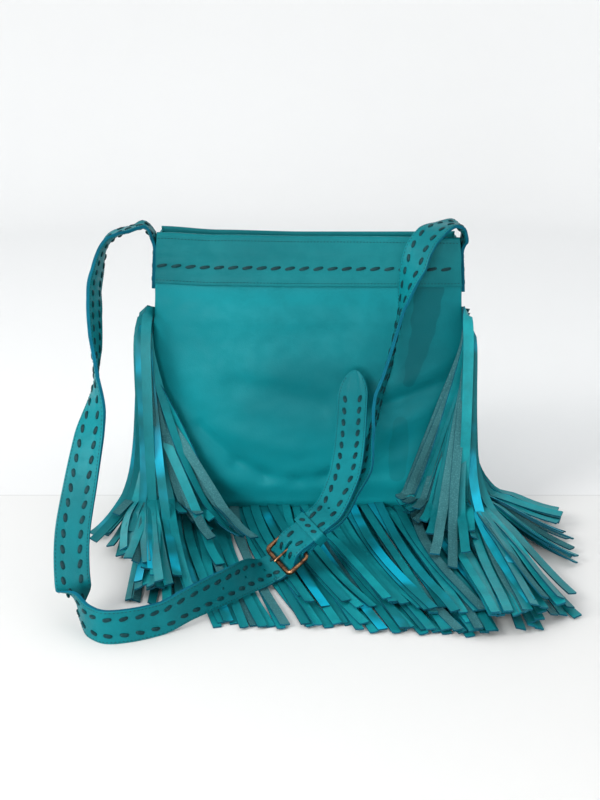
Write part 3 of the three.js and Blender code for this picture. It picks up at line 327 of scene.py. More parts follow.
# Colours of the materials, light and dark
BODY_DYE = ((0.003, 0.192, 0.22), (0.002, 0.136, 0.158))
BAND_DYE = ((0.004, 0.158, 0.178), (0.003, 0.12, 0.138))
STRAP_DYE = ((0.003, 0.172, 0.198), (0.002, 0.115, 0.134))
STRAP_EDGE = ((0.003, 0.115, 0.175), (0.002, 0.06, 0.09))
FRINGE_GRAIN = ((0.006, 0.27, 0.3), (0.003, 0.12, 0.14))
FRINGE_FLESH = ((0.045, 0.175, 0.19), (0.02, 0.1, 0.115))
FRINGE_EDGE = ((0.004, 0.11, 0.17), (0.002, 0.045, 0.065))
THREAD_DYE = ((0.001, 0.04, 0.047), (0.001, 0.022, 0.028))
BRONZE = ((0.36, 0.18, 0.09), (0.06, 0.03, 0.02))
# Painted cyan highlight, mixed in patches into the grain side of the strips with the highest tones
PAINTED_CYAN_HIGHLIGHT = (0.004, 0.38, 0.54)
# Painted shade at the roots of the strips and over the fringe's head, in the gap between the fringe
# and the panel
PAINTED_ROOT_SHADE = (0.001, 0.022, 0.027)
FLOOR_WHITE = (0.72, 0.712, 0.704)
# Whites beyond the line: the first, at the line, is painted shade of a wall's foot; the second lies
# further back
WALL_WHITES_PAINTED_SHADE = ((0.75, 0.745, 0.745), (0.81, 0.81, 0.81))
# Grey of the line behind the bag, painted shade where a wall would meet the floor
PAINTED_CORNER_SHADE_GREY = (0.4, 0.4, 0.4)
LEATHER_SHINE = 0.09
LEATHER_GRAIN = 0.8
GRAIN_DEPTH = 0.12

# Stage, lights and camera, in metres
FLOOR_RADIUS = 2.3
FLOOR_BEND = 0.5
FLOOR_WALL = 1.9
FLOOR_FLAT = (0.6, 1.2)
FLOOR_SIDES = 96
LINE_BEHIND = 0.0181
LINE_HALF_WIDTH = 0.0005
SKY_COLOUR = (0.95, 0.98, 1.0)
SKY_STRENGTH = 1.06
# Square lamps: name, place, size, power, colour and what they point at
LAMPS = [
    ("window", (-1.6, -1.4, 1.3), 0.9, 40, (1.0, 0.99, 0.97), (0, -0.05, 0.1)),
    ("low_fill", (-0.4, -1.7, 0.3), 0.5, 12, SKY_COLOUR, (-0.02, 0, 0.06)),
]
CAMERA_PLACE = (-0.008, -1.057, 0.454)
CAMERA_TILT = 72
CAMERA_LENS = 50
CAMERA_SENSOR = 36

random.seed(7)


# Reading the tables
def eased(rows, at):
    """Values between the rows of a table, eased at each row."""
    keys = np.array([row[0] for row in rows], float)
    values = np.array([row[1] for row in rows], float)
    at = np.clip(at, keys[0], keys[-1])
    high = np.clip(np.searchsorted(keys, at, side="left"), 1, len(keys) - 1)
    share = (at - keys[high - 1]) / (keys[high] - keys[high - 1])
    share = share * share * (3 - 2 * share)
    return values[high - 1] + (values[high] - values[high - 1]) * share


def smooth(value, low, high):
    """0 below low and 1 above high, eased between them."""
    share = np.clip((value - low) / (high - low), 0, 1)
    return share * share * (3 - 2 * share)


def mix(a, b, share):
    return a + (b - a) * share


def unit(vectors):
    return vectors / np.maximum(np.linalg.norm(vectors, axis=-1, keepdims=True), 1e-9)


def across_of(across, along):
    """The part of a direction that is square to another."""
    return unit(across - np.sum(across * along, axis=-1, keepdims=True) * along)


def bumps(a, b, size, seed):
    """Smooth repeatable bumps of about that size, from -1 to 1."""
    source = np.random.default_rng(seed)
    total = np.zeros(np.broadcast(a, b).shape)
    waves = 7
    for _ in range(waves):
        angle = source.uniform(0, 2 * math.pi)
        length = size * source.uniform(0.7, 1.6)
        phase = source.uniform(0, 2 * math.pi)
        total += np.sin((a * math.cos(angle) + b * math.sin(angle)) * 2 * math.pi / length + phase)
    return total / math.sqrt(waves) / 1.4


# The bag's outline, with the part's own formulas
def half_width(height):
    """Half the bag's width at a height, with its rounded lower corners."""
    straight = TOP_HALF_WIDTH + SIDE_SPREAD * eased(SIDE_ROWS, np.asarray(height) / BAG_HEIGHT)
    below = np.maximum(CORNER_RADIUS - np.asarray(height, float), 0)
    return straight - CORNER_RADIUS + np.sqrt(np.maximum(CORNER_RADIUS**2 - below**2, 0))


def rim_lift(across, height):
    """How much higher the rim lies there than the bag's height."""
    share = np.clip(np.asarray(height) / BAG_HEIGHT, 0, 1)
    return RIM_RISE * eased(RIM_ROWS, across) * share**2


def along_line(x, z, line_x, line_z):
    """How far along a line from the origin the nearest place to each point lies, as a share."""
    return np.clip((x * line_x + z * line_z) / (line_x**2 + line_z**2), 0, 1)


def fold_depth(folds, across, up):
    """How far the folds push a place out, or in where it is negative."""
    depth = 0
    for from_across, from_up, to_across, to_up, wide, deep in folds:
        dx = to_across - from_across
        dz = to_up - from_up
        near = along_line(across - from_across, up - from_up, dx, dz)
        away_across = across - from_across - near * dx
        away_up = (up - from_up - near * dz) * (BAG_HEIGHT / TOP_HALF_WIDTH)
        depth = depth + deep * np.exp(-(away_across**2 + away_up**2) / wide**2)
    return depth * PANEL_SWELL


def panel_face(side, across, height):
    """How far the outer face of a panel lies from the bag's middle plane, with its sign."""
    up = height / BAG_HEIGHT
    folds = FRONT_FOLDS if side < 0 else BACK_FOLDS
    crown = PANEL_SWELL * eased(SWELL_ROWS, up) + fold_depth(folds, across, up)
    middle = np.where(crown > 0, 1 - np.abs(across) ** 5, 1 - across**2)
    seam = abs(SEAM_Y) + CLEARANCE
    if side < 0:
        seam = mix(abs(PANEL_BACK_Y), seam, smooth(height, HEAD_TOP, BAND_BOTTOM))
    return side * (seam + LEATHER + middle * crown)


def seam_runs():
    """Lengths along the seam of the flat half of the base and of a corner."""
    return float(half_width(CORNER_RADIUS)) - CORNER_RADIUS, CORNER_RADIUS * math.pi / 2


def seam_point(place, top):
    """A place on the seam and the way out of the bag there. -1 and 1 are the seam's top ends."""
    side = 1 if place >= 0 else -1
    flat, arc = seam_runs()
    along = abs(place) * (flat + arc + top - CORNER_RADIUS)
    if along < flat:
        return np.array((side * along, 0, 0)), np.array((0, 0, -1.0))
    if along < flat + arc:
        angle = (along - flat) / CORNER_RADIUS
        outward = np.array((side * math.sin(angle), 0, -math.cos(angle)))
        return np.array((side * flat, 0, CORNER_RADIUS)) + outward * CORNER_RADIUS, outward
    height = CORNER_RADIUS + along - flat - arc
    return np.array((side * float(half_width(height)), 0, height)), np.array((side, 0, 0.0))


def seam_places(side_steps, corner_steps, top):
    """Places all along the seam, close together in the corners."""
    flat, arc = seam_runs()
    whole = flat + arc + top - CORNER_RADIUS
    upright = np.linspace(1, (flat + arc) / whole, side_steps + 1)
    corner = np.linspace((flat + arc) / whole, flat / whole, corner_steps + 1)[1:]
    base = np.linspace(flat / whole, 0, 12)[1:]
    places = np.concatenate([upright, corner, base])
    return [*(-places), *places[::-1][1:]]


# Making meshes
class Shape:
    """Points and faces that are added up, with marks on the points and a material per face."""

    def __init__(self):
        self.points = []
        self.faces = []
        self.materials = []
        self.marks = {}
        self.count = 0

    def add(self, points, faces, material=0, **marks):
        points = np.asarray(points, float).reshape(-1, 3)
        for name in {*marks, *self.marks}:
            held = self.marks.setdefault(name, [np.zeros(self.count)] if self.count else [])
            held.append(np.broadcast_to(marks.get(name, 0.0), len(points)))
        self.faces += [[self.count + i for i in face] for face in faces]
        material = np.broadcast_to(material, len(faces))
        self.materials.append(np.array(material, int))
        self.points.append(points)
        self.count += len(points)

    def all_points(self):
        return np.concatenate(self.points)


def one_skin(points, faces, material=0, **marks):
    shape = Shape()
    shape.add(points, faces, material, **marks)
    return shape


def loft(rings, loop=False):
    """Points and faces of a skin over rings that run out along one side and back."""
    rings = np.asarray(rings, float)
    steps, count = rings.shape[:2]
    faces = []
    for i in range(steps if loop else steps - 1):
        here = i * count
        after = ((i + 1) % steps) * count
        for k in range(count):
            m = (k + 1) % count
            faces.append([here + k, here + m, after + m, after + k])
    if not loop:
        last = (steps - 1) * count
        for k in range(count // 2 - 1):
            faces.append([k, count - 1 - k, count - 2 - k, k + 1])
            faces.append([last + k, last + k + 1, last + count - 2 - k, last + count - 1 - k])
    points = rings.reshape(-1, 3)
    if volume(points, faces) < 0:
        faces = [face[::-1] for face in faces]
    return points, faces


def volume(points, faces):
    quads = np.array(faces)
    a, b, c, d = (points[quads[:, i]] for i in range(4))
    return np.sum(a * np.cross(b, c)) + np.sum(a * np.cross(c, d))


def add_object(name, data):
    item = bpy.data.objects.new(name, data)
    bpy.context.scene.collection.objects.link(item)
    return item


def make_piece(name, shape, materials, nodes=()):
    """A visible piece on the body, in place of the named nodes."""
    mesh = bpy.data.meshes.new(name)
    mesh.from_pydata((shape.all_points() * MM).tolist(), [], shape.faces)
    for mark, parts in shape.marks.items():
        layer = mesh.attributes.new(mark, "FLOAT", "POINT")
        layer.data.foreach_set("value", np.concatenate(parts).astype(np.float32))
    for material in materials:
        mesh.materials.append(material)
    mesh.polygons.foreach_set("material_index", np.concatenate(shape.materials).astype(np.int32))
    mesh.polygons.foreach_set("use_smooth", [True] * len(mesh.polygons))
    mesh.set_sharp_from_angle(angle=math.radians(SHARP_DEGREES))
    mesh.update()
    piece = add_object(name, mesh)
    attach(piece, "root")
    if nodes:
        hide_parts(*nodes)
    return piece


# Panels and bands
def panel_columns():
    """Shares across a panel, and how far each lies round the panel's rounded side edge."""
    radius = LEATHER / 2
    turns = np.radians(PANEL_EDGE_TURNS)
    edge = 1 - radius * (1 - np.cos(turns)) / TOP_HALF_WIDTH
    pull = 1 - np.sin(turns)
    inner = np.linspace(-edge[-1], edge[-1], PANEL_COLUMNS)
    across = np.concatenate([-edge[:-1], inner, edge[:-1][::-1]])
    pulls = np.concatenate([pull[:-1], np.zeros(PANEL_COLUMNS), pull[:-1][::-1]])
    return across, pulls


def wrinkles(side, x, z):
    """The skin's own small relief, left out near the seams and under the band."""
    relief = sum(depth * bumps(x, z * stretch, size, seed + side)
                 for depth, stretch, size, seed in WRINKLES)
    if side < 0:
        relief = relief + fold_depth(SKIN_FOLDS, x / TOP_HALF_WIDTH, z / BAG_HEIGHT)
    return relief * smooth(z, 12, 40) * (1 - smooth(z, BAND_BOTTOM - 12, BAND_BOTTOM - 2))


def stain_depth(x, z, line, waver):
    """Signed distance into a thick wavy line of points with half widths."""
    best = np.full(np.shape(x), NO_STAIN)
    for (x0, z0, r0), (x1, z1, r1) in zip(line, line[1:]):
        dx, dz = x1 - x0, z1 - z0
        share = along_line(x - x0, z - z0, dx, dz)
        away = np.hypot(x - x0 - share * dx, z - z0 - share * dz)
        best = np.maximum(best, mix(r0, r1, share) - away)
    return best + waver * bumps(x, z, 26, 5)


def panel_shape(side):
    across, pulls = panel_columns()
    turns = np.linspace(0, math.pi / 2, 20)[:-1]
    corner = PANEL_LIFT + (CORNER_RADIUS - PANEL_LIFT) * (1 - np.cos(turns))
    plain = np.linspace(CORNER_RADIUS, PANEL_TOP, int((PANEL_TOP - CORNER_RADIUS) / PANEL_CELL))
    rings = []
    for height in np.concatenate([corner, plain]):
        x = across * half_width(height)
        z = height + rim_lift(across, height)
        face = panel_face(side, across, height) + side * wrinkles(side, x, z) * (1 - across**8)
        outer = np.stack([x, face - side * pulls * LEATHER / 2, z], axis=-1)
        inner = np.stack([x, face - side * (LEATHER - pulls * LEATHER / 2), z], axis=-1)
        rings.append(np.concatenate([outer, inner[::-1]]))
    points, faces = loft(rings)
    stain = oval = np.full(len(points), NO_STAIN)
    if side < 0:
        stain = stain_depth(points[:, 0], points[:, 2], RIGHT_STAIN, 1.6)
        oval = stain_depth(points[:, 0], points[:, 2], LOW_OVAL, 0.6)
    return one_skin(points, faces, stain=stain, oval=oval)


def band_section():
    """Offsets and heights of a band's outer and inner faces, from its front edge to its back."""
    half = BAND_LEATHER / 2
    middle = RIM_FOLD_RADIUS - half
    edge = [(math.sin(turn), 1 - math.cos(turn)) for turn in np.radians(BAND_EDGE_TURNS)]
    faces = []
    for way in (1, -1):
        skin = middle + way * half
        face = [(-middle - way * half * turn, BAND_BOTTOM + half * rise) for turn, rise in edge]
        face += [(-skin, height) for height in np.linspace(BAND_BOTTOM + 2, PANEL_TOP, 22)]
        face += [(skin * math.cos(angle), PANEL_TOP + skin * math.sin(angle))
                 for angle in np.linspace(math.pi, 0, 11)[1:-1]]
        face += [(skin, height) for height in np.linspace(PANEL_TOP, PANEL_TOP - 22, 8)]
        faces.append(np.array(face))
    return faces


def band_point(side, across, offset, height):
    """A place on a band, offset from the middle of the panel's leather under it."""
    inside_wall = np.where(offset > LEATHER / 2, LEATHER + 2 * CLEARANCE, 0)
    x = across * (half_width(height) - inside_wall)
    y = panel_face(side, across, np.minimum(height, PANEL_TOP)) - side * (LEATHER / 2 + offset)
    return np.stack([x, y, height + rim_lift(across, height)], axis=-1)


def band_relief(side, x, z):
    """Creases towards one end of the band, and a dip along the laced stitches."""
    creases = 0.22 * bumps(x * 0.6 + z * 0.5, z * 1.4, 15, 44 + side) * smooth(x * side, 40, 130)
    lace = -0.32 * np.exp(-((z - BAND_BOTTOM - LACE_ABOVE_EDGE) / 3.2) ** 2)
    return creases + lace + 0.1 * bumps(x, z, 33, 47 + side)


def band_shape(side):
    outer, inner = band_section()
    plain = (outer[:, 0] < 0) & (outer[:, 1] > BAND_BOTTOM + 3) & (outer[:, 1] < PANEL_TOP - 1)
    rings = []
    for across in np.linspace(-1, 1, BAND_COLUMNS):
        out, into = (band_point(side, np.full(len(face), across), face[:, 0], face[:, 1])
                     for face in (outer, inner))
        relief = np.minimum(band_relief(side, out[:, 0], out[:, 2]), 0.6)
        out[:, 1] += side * np.where(plain, relief, 0)
        rings.append(np.concatenate([out, into[::-1]]))
    return one_skin(*loft(rings))


def band_surface(side, across, height):
    """A place on a band's outer face, the way across the bag there and the way out."""
    def place(a, h):
        point = band_point(side, np.array([a]), np.array([-RIM_FOLD_RADIUS]), np.array([h]))[0]
        point[1] += side * float(band_relief(side, point[0], point[2]))
        return point
    here = place(across, height)
    along = unit(place(across + 0.01, height) - place(across - 0.01, height))
    up = unit(place(across, height + 1) - place(across, height - 1))
    out = np.cross(along, up)
    return here, along, up, out * (1 if out[1] * side > 0 else -1)


# Stitches
def round_ring(centre, across, out, wide, high, sides):
    """Points round a centre, with the half width and half height of their oval."""
    angles = ((np.arange(sides) + 0.5) / sides * 2 * math.pi)[:, None]
    return centre + np.cos(angles) * across * wide + np.sin(angles) * out * high


def add_stitch(shape, middle, along, across, out, length, width, height, tone=0.0):
    """A thread that rises out of the leather and goes back in at both ends."""
    rings = []
    for share in (-1, -0.86, -0.5, 0, 0.5, 0.86, 1):
        swell = math.sqrt(max(1 - share**2, 0)) ** 0.7 + 0.06
        centre = middle + along * share * length / 2 + out * height * (1 - abs(share) ** 3 * 1.5)
        rings.append(round_ring(centre, across, out, swell * width / 2, swell * width * 0.32, 6))
    shape.add(*loft(rings), tone=tone)


def add_fine_stitch(shape, middle, along, across, out, length, width):
    """A short machine stitch, as a small spindle."""
    ends = [middle - along * length / 2, middle + along * length / 2]
    sides = [middle + across * width / 2, middle + out * width * 0.4,
             middle - across * width / 2, middle - out * width * 0.4]
    faces = []
    for k in range(4):
        m = (k + 1) % 4
        faces.append([0, 2 + m, 2 + k])
        faces.append([1, 2 + k, 2 + m])
    shape.add([*ends, *sides], faces)


def turned(along, across, degrees):
    """Two directions turned within their plane."""
    angle = math.radians(degrees)
    return (along * math.cos(angle) + across * math.sin(angle),
            across * math.cos(angle) - along * math.sin(angle))


def band_stitches(side):
    lace, fine = Shape(), Shape()
    run = 2 * TOP_HALF_WIDTH
    left, right = BAND_LACE_ENDS
    for x in np.arange(-run / 2 + left, run / 2 - right, LACE_PITCH):
        here, along, up, out = band_surface(side, x / TOP_HALF_WIDTH, BAND_BOTTOM + LACE_ABOVE_EDGE)
        slant = -side * LACE_SLANT + random.uniform(-3, 3)
        way, square = turned(along, up, slant)
        add_stitch(lace, here, way, square, out, LACE_LENGTH, LACE_WIDTH, 0.3, random.random())
    for height in (BAND_BOTTOM + SEAM_ABOVE_EDGE, PANEL_TOP - SEAM_BELOW_RIM):
        for x in np.arange(-run / 2 + BAND_SEAM_END, run / 2 - BAND_SEAM_END, FINE_PITCH):
            here, along, up, out = band_surface(side, x / TOP_HALF_WIDTH, height)
            add_fine_stitch(fine, here + out * 0.08, along, up, out, FINE_LENGTH, FINE_WIDTH)
    return lace, fine


# Gusset and the fringe's head
def seam_strip(places, top, section):
    """A strip along the seam. The section gives how far out of the bag and where in depth."""
    rings = []
    for place in places:
        point, outward = seam_point(place, top)
        lift = float(rim_lift(np.sign(place), point[2])) if point[2] > CORNER_RADIUS else 0
        ring = []
        for out, depth in section(outward):
            corner = point + outward * out
            ring.append((corner[0], depth, corner[2] + lift))
        rings.append(ring)
    return loft(rings)


def gusset_shape():
    half = BAG_DEPTH / 2
    middle = [(0, y) for y in np.linspace(-half + 3, half - 3, 9)]
    outer = [(-0.25, -half), (0, -half + 0.5), *middle, (0, half - 0.5), (-0.25, half)]
    inner = [(-LEATHER - out * 0.99, depth) for out, depth in outer]
    top = PANEL_TOP - CLEARANCE
    places = seam_places(60, 24, top)
    return one_skin(*seam_strip(places, top, lambda outward: [*outer, *inner[::-1]]))


def head_section(outward):
    back = SEAM_Y - CLEARANCE
    front = back - HEAD_THICKNESS
    proud = (HEAD_PROUD - 1.5) * abs(outward[0]) - CLEARANCE * abs(outward[2]) - 0.6
    rows = [(proud, 0.3), (proud - 0.5, 0), (proud - 3, 0), (-HEAD_DEPTH + 1, 0), (-HEAD_DEPTH, 0.3)]
    outer = [(out, front + inset) for out, inset in rows]
    inner = [(out, back - inset) for out, inset in rows]
    return [*outer, *inner[::-1]]


# Straps
def station(row, start):
    """A strap station from a row of the tables, ahead of that depth."""
    across, ahead, up, stand, *turn = row
    point = (across * TOP_HALF_WIDTH, -(start + ahead * STRAP_REACH),
             up * BAG_HEIGHT + stand * STRAP_WIDTH)
    return np.array(point), np.array(turn, float), STRAP_THICKNESS


# The buckle's own frame, on the strap
BUCKLE_ACROSS = across_of(BUCKLE_LEAN, BUCKLE_ALONG)
BUCKLE_OUT = np.cross(BUCKLE_ACROSS, BUCKLE_ALONG)
BUCKLE_MIDDLE = station((*BUCKLE_PLACE, 0, 0, 0, 0), BAG_DEPTH / 2)[0]


def buckle_station(along, out, thickness, aside=0.0):
    """A strap station at a place in the buckle's own frame."""
    point = BUCKLE_MIDDLE + BUCKLE_ALONG * along + BUCKLE_OUT * out + BUCKLE_ACROSS * aside
    return point, BUCKLE_ACROSS.copy(), thickness


def sewn_stations(side):
    """Stations up the bag's side, where a strap is sewn on."""
    stations = []
    for share in (0, 0.33, 0.67, 1):
        height = mix(SEWN_BOTTOM, BAG_HEIGHT - SEWN_BELOW_RIM, share)
        x = side * (float(half_width(height)) + 2 * CLEARANCE + STRAP_THICKNESS / 2)
        point = np.array((x, 0, height + float(rim_lift(side, height))))
        stations.append((point, np.array((0, -1.0, 0)), STRAP_THICKNESS))
    return stations


class Ribbon:
    """A smooth ribbon through stations of point, way across and thickness."""

    def __init__(self, stations):
        self.points = np.array([row[0] for row in stations])
        self.turns = np.array([row[1] for row in stations])
        self.thick = np.array([row[2] for row in stations])
        self.spans = len(stations) - 1
        self.fine = np.linspace(0, 1, RIBBON_SAMPLES)
        steps = np.linalg.norm(np.diff(self.at(self.fine), axis=0), axis=1)
        self.lengths = np.concatenate([[0], np.cumsum(steps)])
        self.length = self.lengths[-1]

    def at(self, places):
        """Points of the centripetal curve."""
        ends = self.points
        padded = np.concatenate([[2 * ends[0] - ends[1]], ends, [2 * ends[-1] - ends[-2]]])
        raw = np.clip(np.asarray(places, float), 0, 1) * self.spans
        low = np.minimum(raw.astype(int), self.spans - 1)
        part = (raw - low)[..., None]
        p0, p1, p2, p3 = (padded[low + i] for i in range(4))
        gap0, gap1, gap2 = (
            np.sum((b - a) ** 2, axis=-1, keepdims=True) ** 0.25
            for a, b in ((p0, p1), (p1, p2), (p2, p3))
        )
        start = ((p1 - p0) / gap0 - (p2 - p0) / (gap0 + gap1) + (p2 - p1) / gap1) * gap1
        end = ((p2 - p1) / gap1 - (p3 - p1) / (gap1 + gap2) + (p3 - p2) / gap2) * gap1
        square = -3 * p1 + 3 * p2 - 2 * start - end
        cube = 2 * p1 - 2 * p2 + start + end
        return p1 + start * part + square * part**2 + cube * part**3

    def place_of(self, length):
        return np.interp(length, self.lengths, self.fine)

    def nearest(self, point):
        return self.lengths[np.argmin(np.linalg.norm(self.at(self.fine) - point, axis=1))]

    def frames(self, lengths):
        places = self.place_of(np.asarray(lengths, float))
        along = unit(self.at(np.minimum(places + 1e-4, 1)) - self.at(np.maximum(places - 1e-4, 0)))
        raw = places * self.spans
        low = np.minimum(raw.astype(int), self.spans - 1)
        part = (raw - low)[..., None]
        across = across_of(mix(self.turns[low], self.turns[low + 1], part), along)
        thick = mix(self.thick[low], self.thick[low + 1], part[..., 0])
        out = np.cross(across, along)
        point = self.at(places)
        lowest = (np.abs(across[..., 2]) * STRAP_WIDTH + np.abs(out[..., 2]) * thick) / 2
        point[..., 2] = np.maximum(point[..., 2], lowest)
        return point, along, across, out, thick


def tip_share(left):
    """Share of the strap's width at that length from its pointed end."""
    share = np.clip(left / TIP_LENGTH, 0, 1)
    return np.maximum(np.sqrt(1 - (1 - share) ** 2) ** 1.25, 0.06)


def strap_section(width, thick):
    """Across and out offsets round the strap, with soft corners and a line between its layers."""
    half = width / 2
    skin = thick / 2
    soft = min(0.55, skin * 0.5)
    groove = min(0.22, skin * 0.3)
    lace = 1 - STRAP_LACE_INSET / half
    top = [(-half, skin - soft), (-half + soft * 0.3, skin - soft * 0.3), (-half + soft, skin)]
    for share in (-0.9, -lace - 0.12, -lace, -lace + 0.12, -0.25, 0):
        sink = 0.3 if share == -lace else 0.0
        top.append((share * (half - soft), skin - sink))
    top += [(-x, y) for x, y in top[:-1][::-1]]
    line = [(half - groove * 0.4, 0.16), (half - groove, 0.05)]
    upper = [*[(-x, y) for x, y in line[::-1]], *top, *line]
    lower = [*[(-x, -y) for x, y in line], *[(x, -y) for x, y in [*top, *line]]]
    return np.array(upper), np.array(lower)


def strap_shape(ribbon, pointed):
    lengths = np.linspace(0, ribbon.length, int(ribbon.length / RIBBON_STEP) + 1)
    if pointed:
        ends = ribbon.length - TIP_LENGTH * (1 - np.linspace(0, 1, 22)) ** 1.6
        lengths = np.concatenate([lengths[lengths < ribbon.length - TIP_LENGTH - 1], ends])
    point, _, across, out, thick = ribbon.frames(lengths)
    rings, edges = [], []
    for i, length in enumerate(lengths):
        share = float(tip_share(ribbon.length - length)) if pointed else 1.0
        upper, lower = strap_section(STRAP_WIDTH, thick[i])
        ring = np.concatenate([upper, lower[::-1]])
        ring[:, 0] *= share
        rings.append(point[i] + ring[:, :1] * across[i] + ring[:, 1:] * out[i])
        edges.append(np.abs(ring[:, 0]) > STRAP_WIDTH / 2 * share - 0.42)
    points, faces = loft(rings)
    edge = np.concatenate(edges)
    return one_skin(points, faces, [int(edge[list(face)].all()) for face in faces])


def strap_spots(ribbon, lengths, pointed):
    """The strap's frame at each length, with the share of its width that its tip leaves."""
    for length in lengths:
        room = float(tip_share(ribbon.length - length)) if pointed else 1.0
        yield room, *(value[0] for value in ribbon.frames([length]))


def strap_stitches(ribbon, start, stop, lace, fine, pointed, faces=(1, -1)):
    """Two laced rows and two machine rows on the faces of a strap."""
    sides = [(side, face) for side in (-1, 1) for face in faces]
    laced = strap_spots(ribbon, np.arange(start, stop, STRAP_LACE_PITCH), pointed)
    for room, point, along, across, out, thick in laced:
        if room < 0.99:
            continue
        for side, face in sides:
            slant = STRAP_LACE_SLANT * side * face + random.uniform(-4, 4)
            way, square = turned(along, across, slant)
            middle = point + across * side * (STRAP_WIDTH / 2 - STRAP_LACE_INSET)
            add_stitch(lace, middle + out * face * (thick / 2 - 0.12), way, square, out * face,
                       STRAP_LACE_LENGTH, STRAP_LACE_WIDTH, 0.2, random.random())
    sewn = strap_spots(ribbon, np.arange(start, stop, FINE_PITCH), pointed)
    for room, point, along, across, out, thick in sewn:
        for side, face in sides:
            middle = point + across * side * (STRAP_WIDTH / 2 * room - STRAP_FINE_INSET)
            add_fine_stitch(fine, middle + out * face * (thick / 2 + 0.05), along, across,
                            out * face, FINE_LENGTH, FINE_WIDTH)


def cutter(name, middle, along, across, out, length, width, reach):
    """A rounded rod that cuts a hole or slot."""
    sides = 20
    half = width / 2
    ends = np.sign(np.cos((np.arange(sides) + 0.5) / sides * 2 * math.pi))[:, None]
    spread = ends * along * max(length - width, 0) / 2
    rings = [round_ring(middle + out * end, along, across, half, half, sides) + spread
             for end in (-reach, reach)]
    points, faces = loft(rings)
    mesh = bpy.data.meshes.new(name)
    mesh.from_pydata((points * MM).tolist(), [], faces)
    return add_object(name, mesh)


def pierce(piece, rods):
    """Cuts the rods out of a piece, then clears them away."""
    for rod in rods:
        step = piece.modifiers.new("cut", "BOOLEAN")
        step.operation = "DIFFERENCE"
        step.solver = "EXACT"
        step.object = rod
    bpy.context.view_layer.update()
    graph = bpy.context.evaluated_depsgraph_get()
    mesh = bpy.data.meshes.new_from_object(piece.evaluated_get(graph))
    piece.modifiers.clear()
    piece.data = mesh
    for rod in rods:
        bpy.data.objects.remove(rod, do_unlink=True)


def wrap_stations():
    """Stations of the short strap round the buckle's inner bar."""
    stations = []
    for angle in np.linspace(math.pi / 2, math.pi * 3 / 2, 7):
        along = BUCKLE_LENGTH / 2 + math.cos(angle) * WRAP_RADIUS
        stations.append(buckle_station(along, math.sin(angle) * WRAP_RADIUS, FOLD_THICKNESS))
    return stations


def long_ribbon():
    length, keeper = BUCKLE_LENGTH, KEEPER_OFFSET
    return Ribbon([
        *sewn_stations(-1),
        *[station(row, BAG_DEPTH / 2) for row in LOOP_ROWS],
        buckle_station(-length, -UNDER_BAR, STRAP_THICKNESS, -BUCKLE_SIDE_PLAY * 2),
        buckle_station(-length / 2, -UNDER_BAR, STRAP_THICKNESS),
        buckle_station(-length / 4, -UNDER_BAR * 0.8, STRAP_THICKNESS),
        buckle_station(length * 0.22, OVER_FOLD * 0.92, STRAP_THICKNESS),
        buckle_station(length / 2, OVER_FOLD + CLEARANCE, STRAP_THICKNESS),
        buckle_station(keeper - KEEPER_LENGTH / 2 - 2, OVER_LAYERS + CLEARANCE, STRAP_THICKNESS),
        buckle_station(keeper + KEEPER_LENGTH / 2, OVER_LAYERS + CLEARANCE, STRAP_THICKNESS),
        buckle_station(keeper + KEEPER_LENGTH, OVER_LAYERS - CLEARANCE, STRAP_THICKNESS),
        *[station(row, BAG_DEPTH / 2 + PANEL_SWELL) for row in TIP_ROWS],
    ])


def short_ribbon():
    keeper, half = KEEPER_OFFSET, KEEPER_LENGTH / 2
    return Ribbon([
        *sewn_stations(1),
        *[station(row, BAG_DEPTH / 2 + PANEL_SWELL) for row in FALL_ROWS],
        buckle_station(keeper + KEEPER_LENGTH, FOLDED_LAYER - FOLD_THICKNESS, STRAP_THICKNESS),
        buckle_station(keeper + half, FOLDED_LAYER, FOLD_THICKNESS),
        buckle_station(keeper - half, FOLDED_LAYER, FOLD_THICKNESS),
        *wrap_stations(),
        buckle_station(keeper - half, -FOLDED_LAYER, FOLD_THICKNESS),
        buckle_station(keeper + half, -FOLDED_LAYER, FOLD_THICKNESS),
    ])


# Buckle and keeper, in the buckle's own frame: across, along, out
def from_buckle(points):
    points = np.asarray(points, float)
    axes = np.array([BUCKLE_ACROSS, BUCKLE_ALONG, BUCKLE_OUT])
    return BUCKLE_MIDDLE + points @ axes


def bar(points, radii, loop):
    """A round bar through points, in the buckle's frame."""
    points = np.asarray(points, float)
    ahead = np.roll(points, -1, axis=0) - np.roll(points, 1, axis=0)
    ways = unit(ahead if loop else np.gradient(points, axis=0))
    rings = []
    for point, way, radius in zip(points, ways, radii):
        side = unit(np.cross(way, (0, 0, 1.0))) if loop else np.array((1.0, 0, 0))
        side = across_of(side, way)
        rings.append(round_ring(point, side, np.cross(side, way), radius, radius, 16))
    skin, faces = loft(rings, loop)
    return one_skin(from_buckle(skin), faces)


def buckle_frame_shape():
    half_across = STRAP_WIDTH / 2 + BUCKLE_SIDE_PLAY + WIRE_RADIUS - BUCKLE_CORNER
    half_along = BUCKLE_LENGTH / 2 - BUCKLE_CORNER

    def corner_point(corner, angle):
        side_x, side_y = [(1, 1), (-1, 1), (-1, -1), (1, -1)][corner % 4]
        return np.array((side_x * half_across + BUCKLE_CORNER * math.cos(angle),
                         side_y * half_along + BUCKLE_CORNER * math.sin(angle), 0))

    points = []
    for quarter in range(4):
        points += [corner_point(quarter, math.pi / 2 * (quarter + i / 8)) for i in range(9)]
        start = corner_point(quarter + 1, math.pi / 2 * (quarter + 1))
        points += [mix(points[-1], start, share) for share in (0.25, 0.5, 0.75)]
    points = np.array(points)
    flare = mix(1.0, OUTER_BAR_FLARE, smooth(-points[:, 1], 0, half_along))
    return bar(points, WIRE_RADIUS * flare, True)


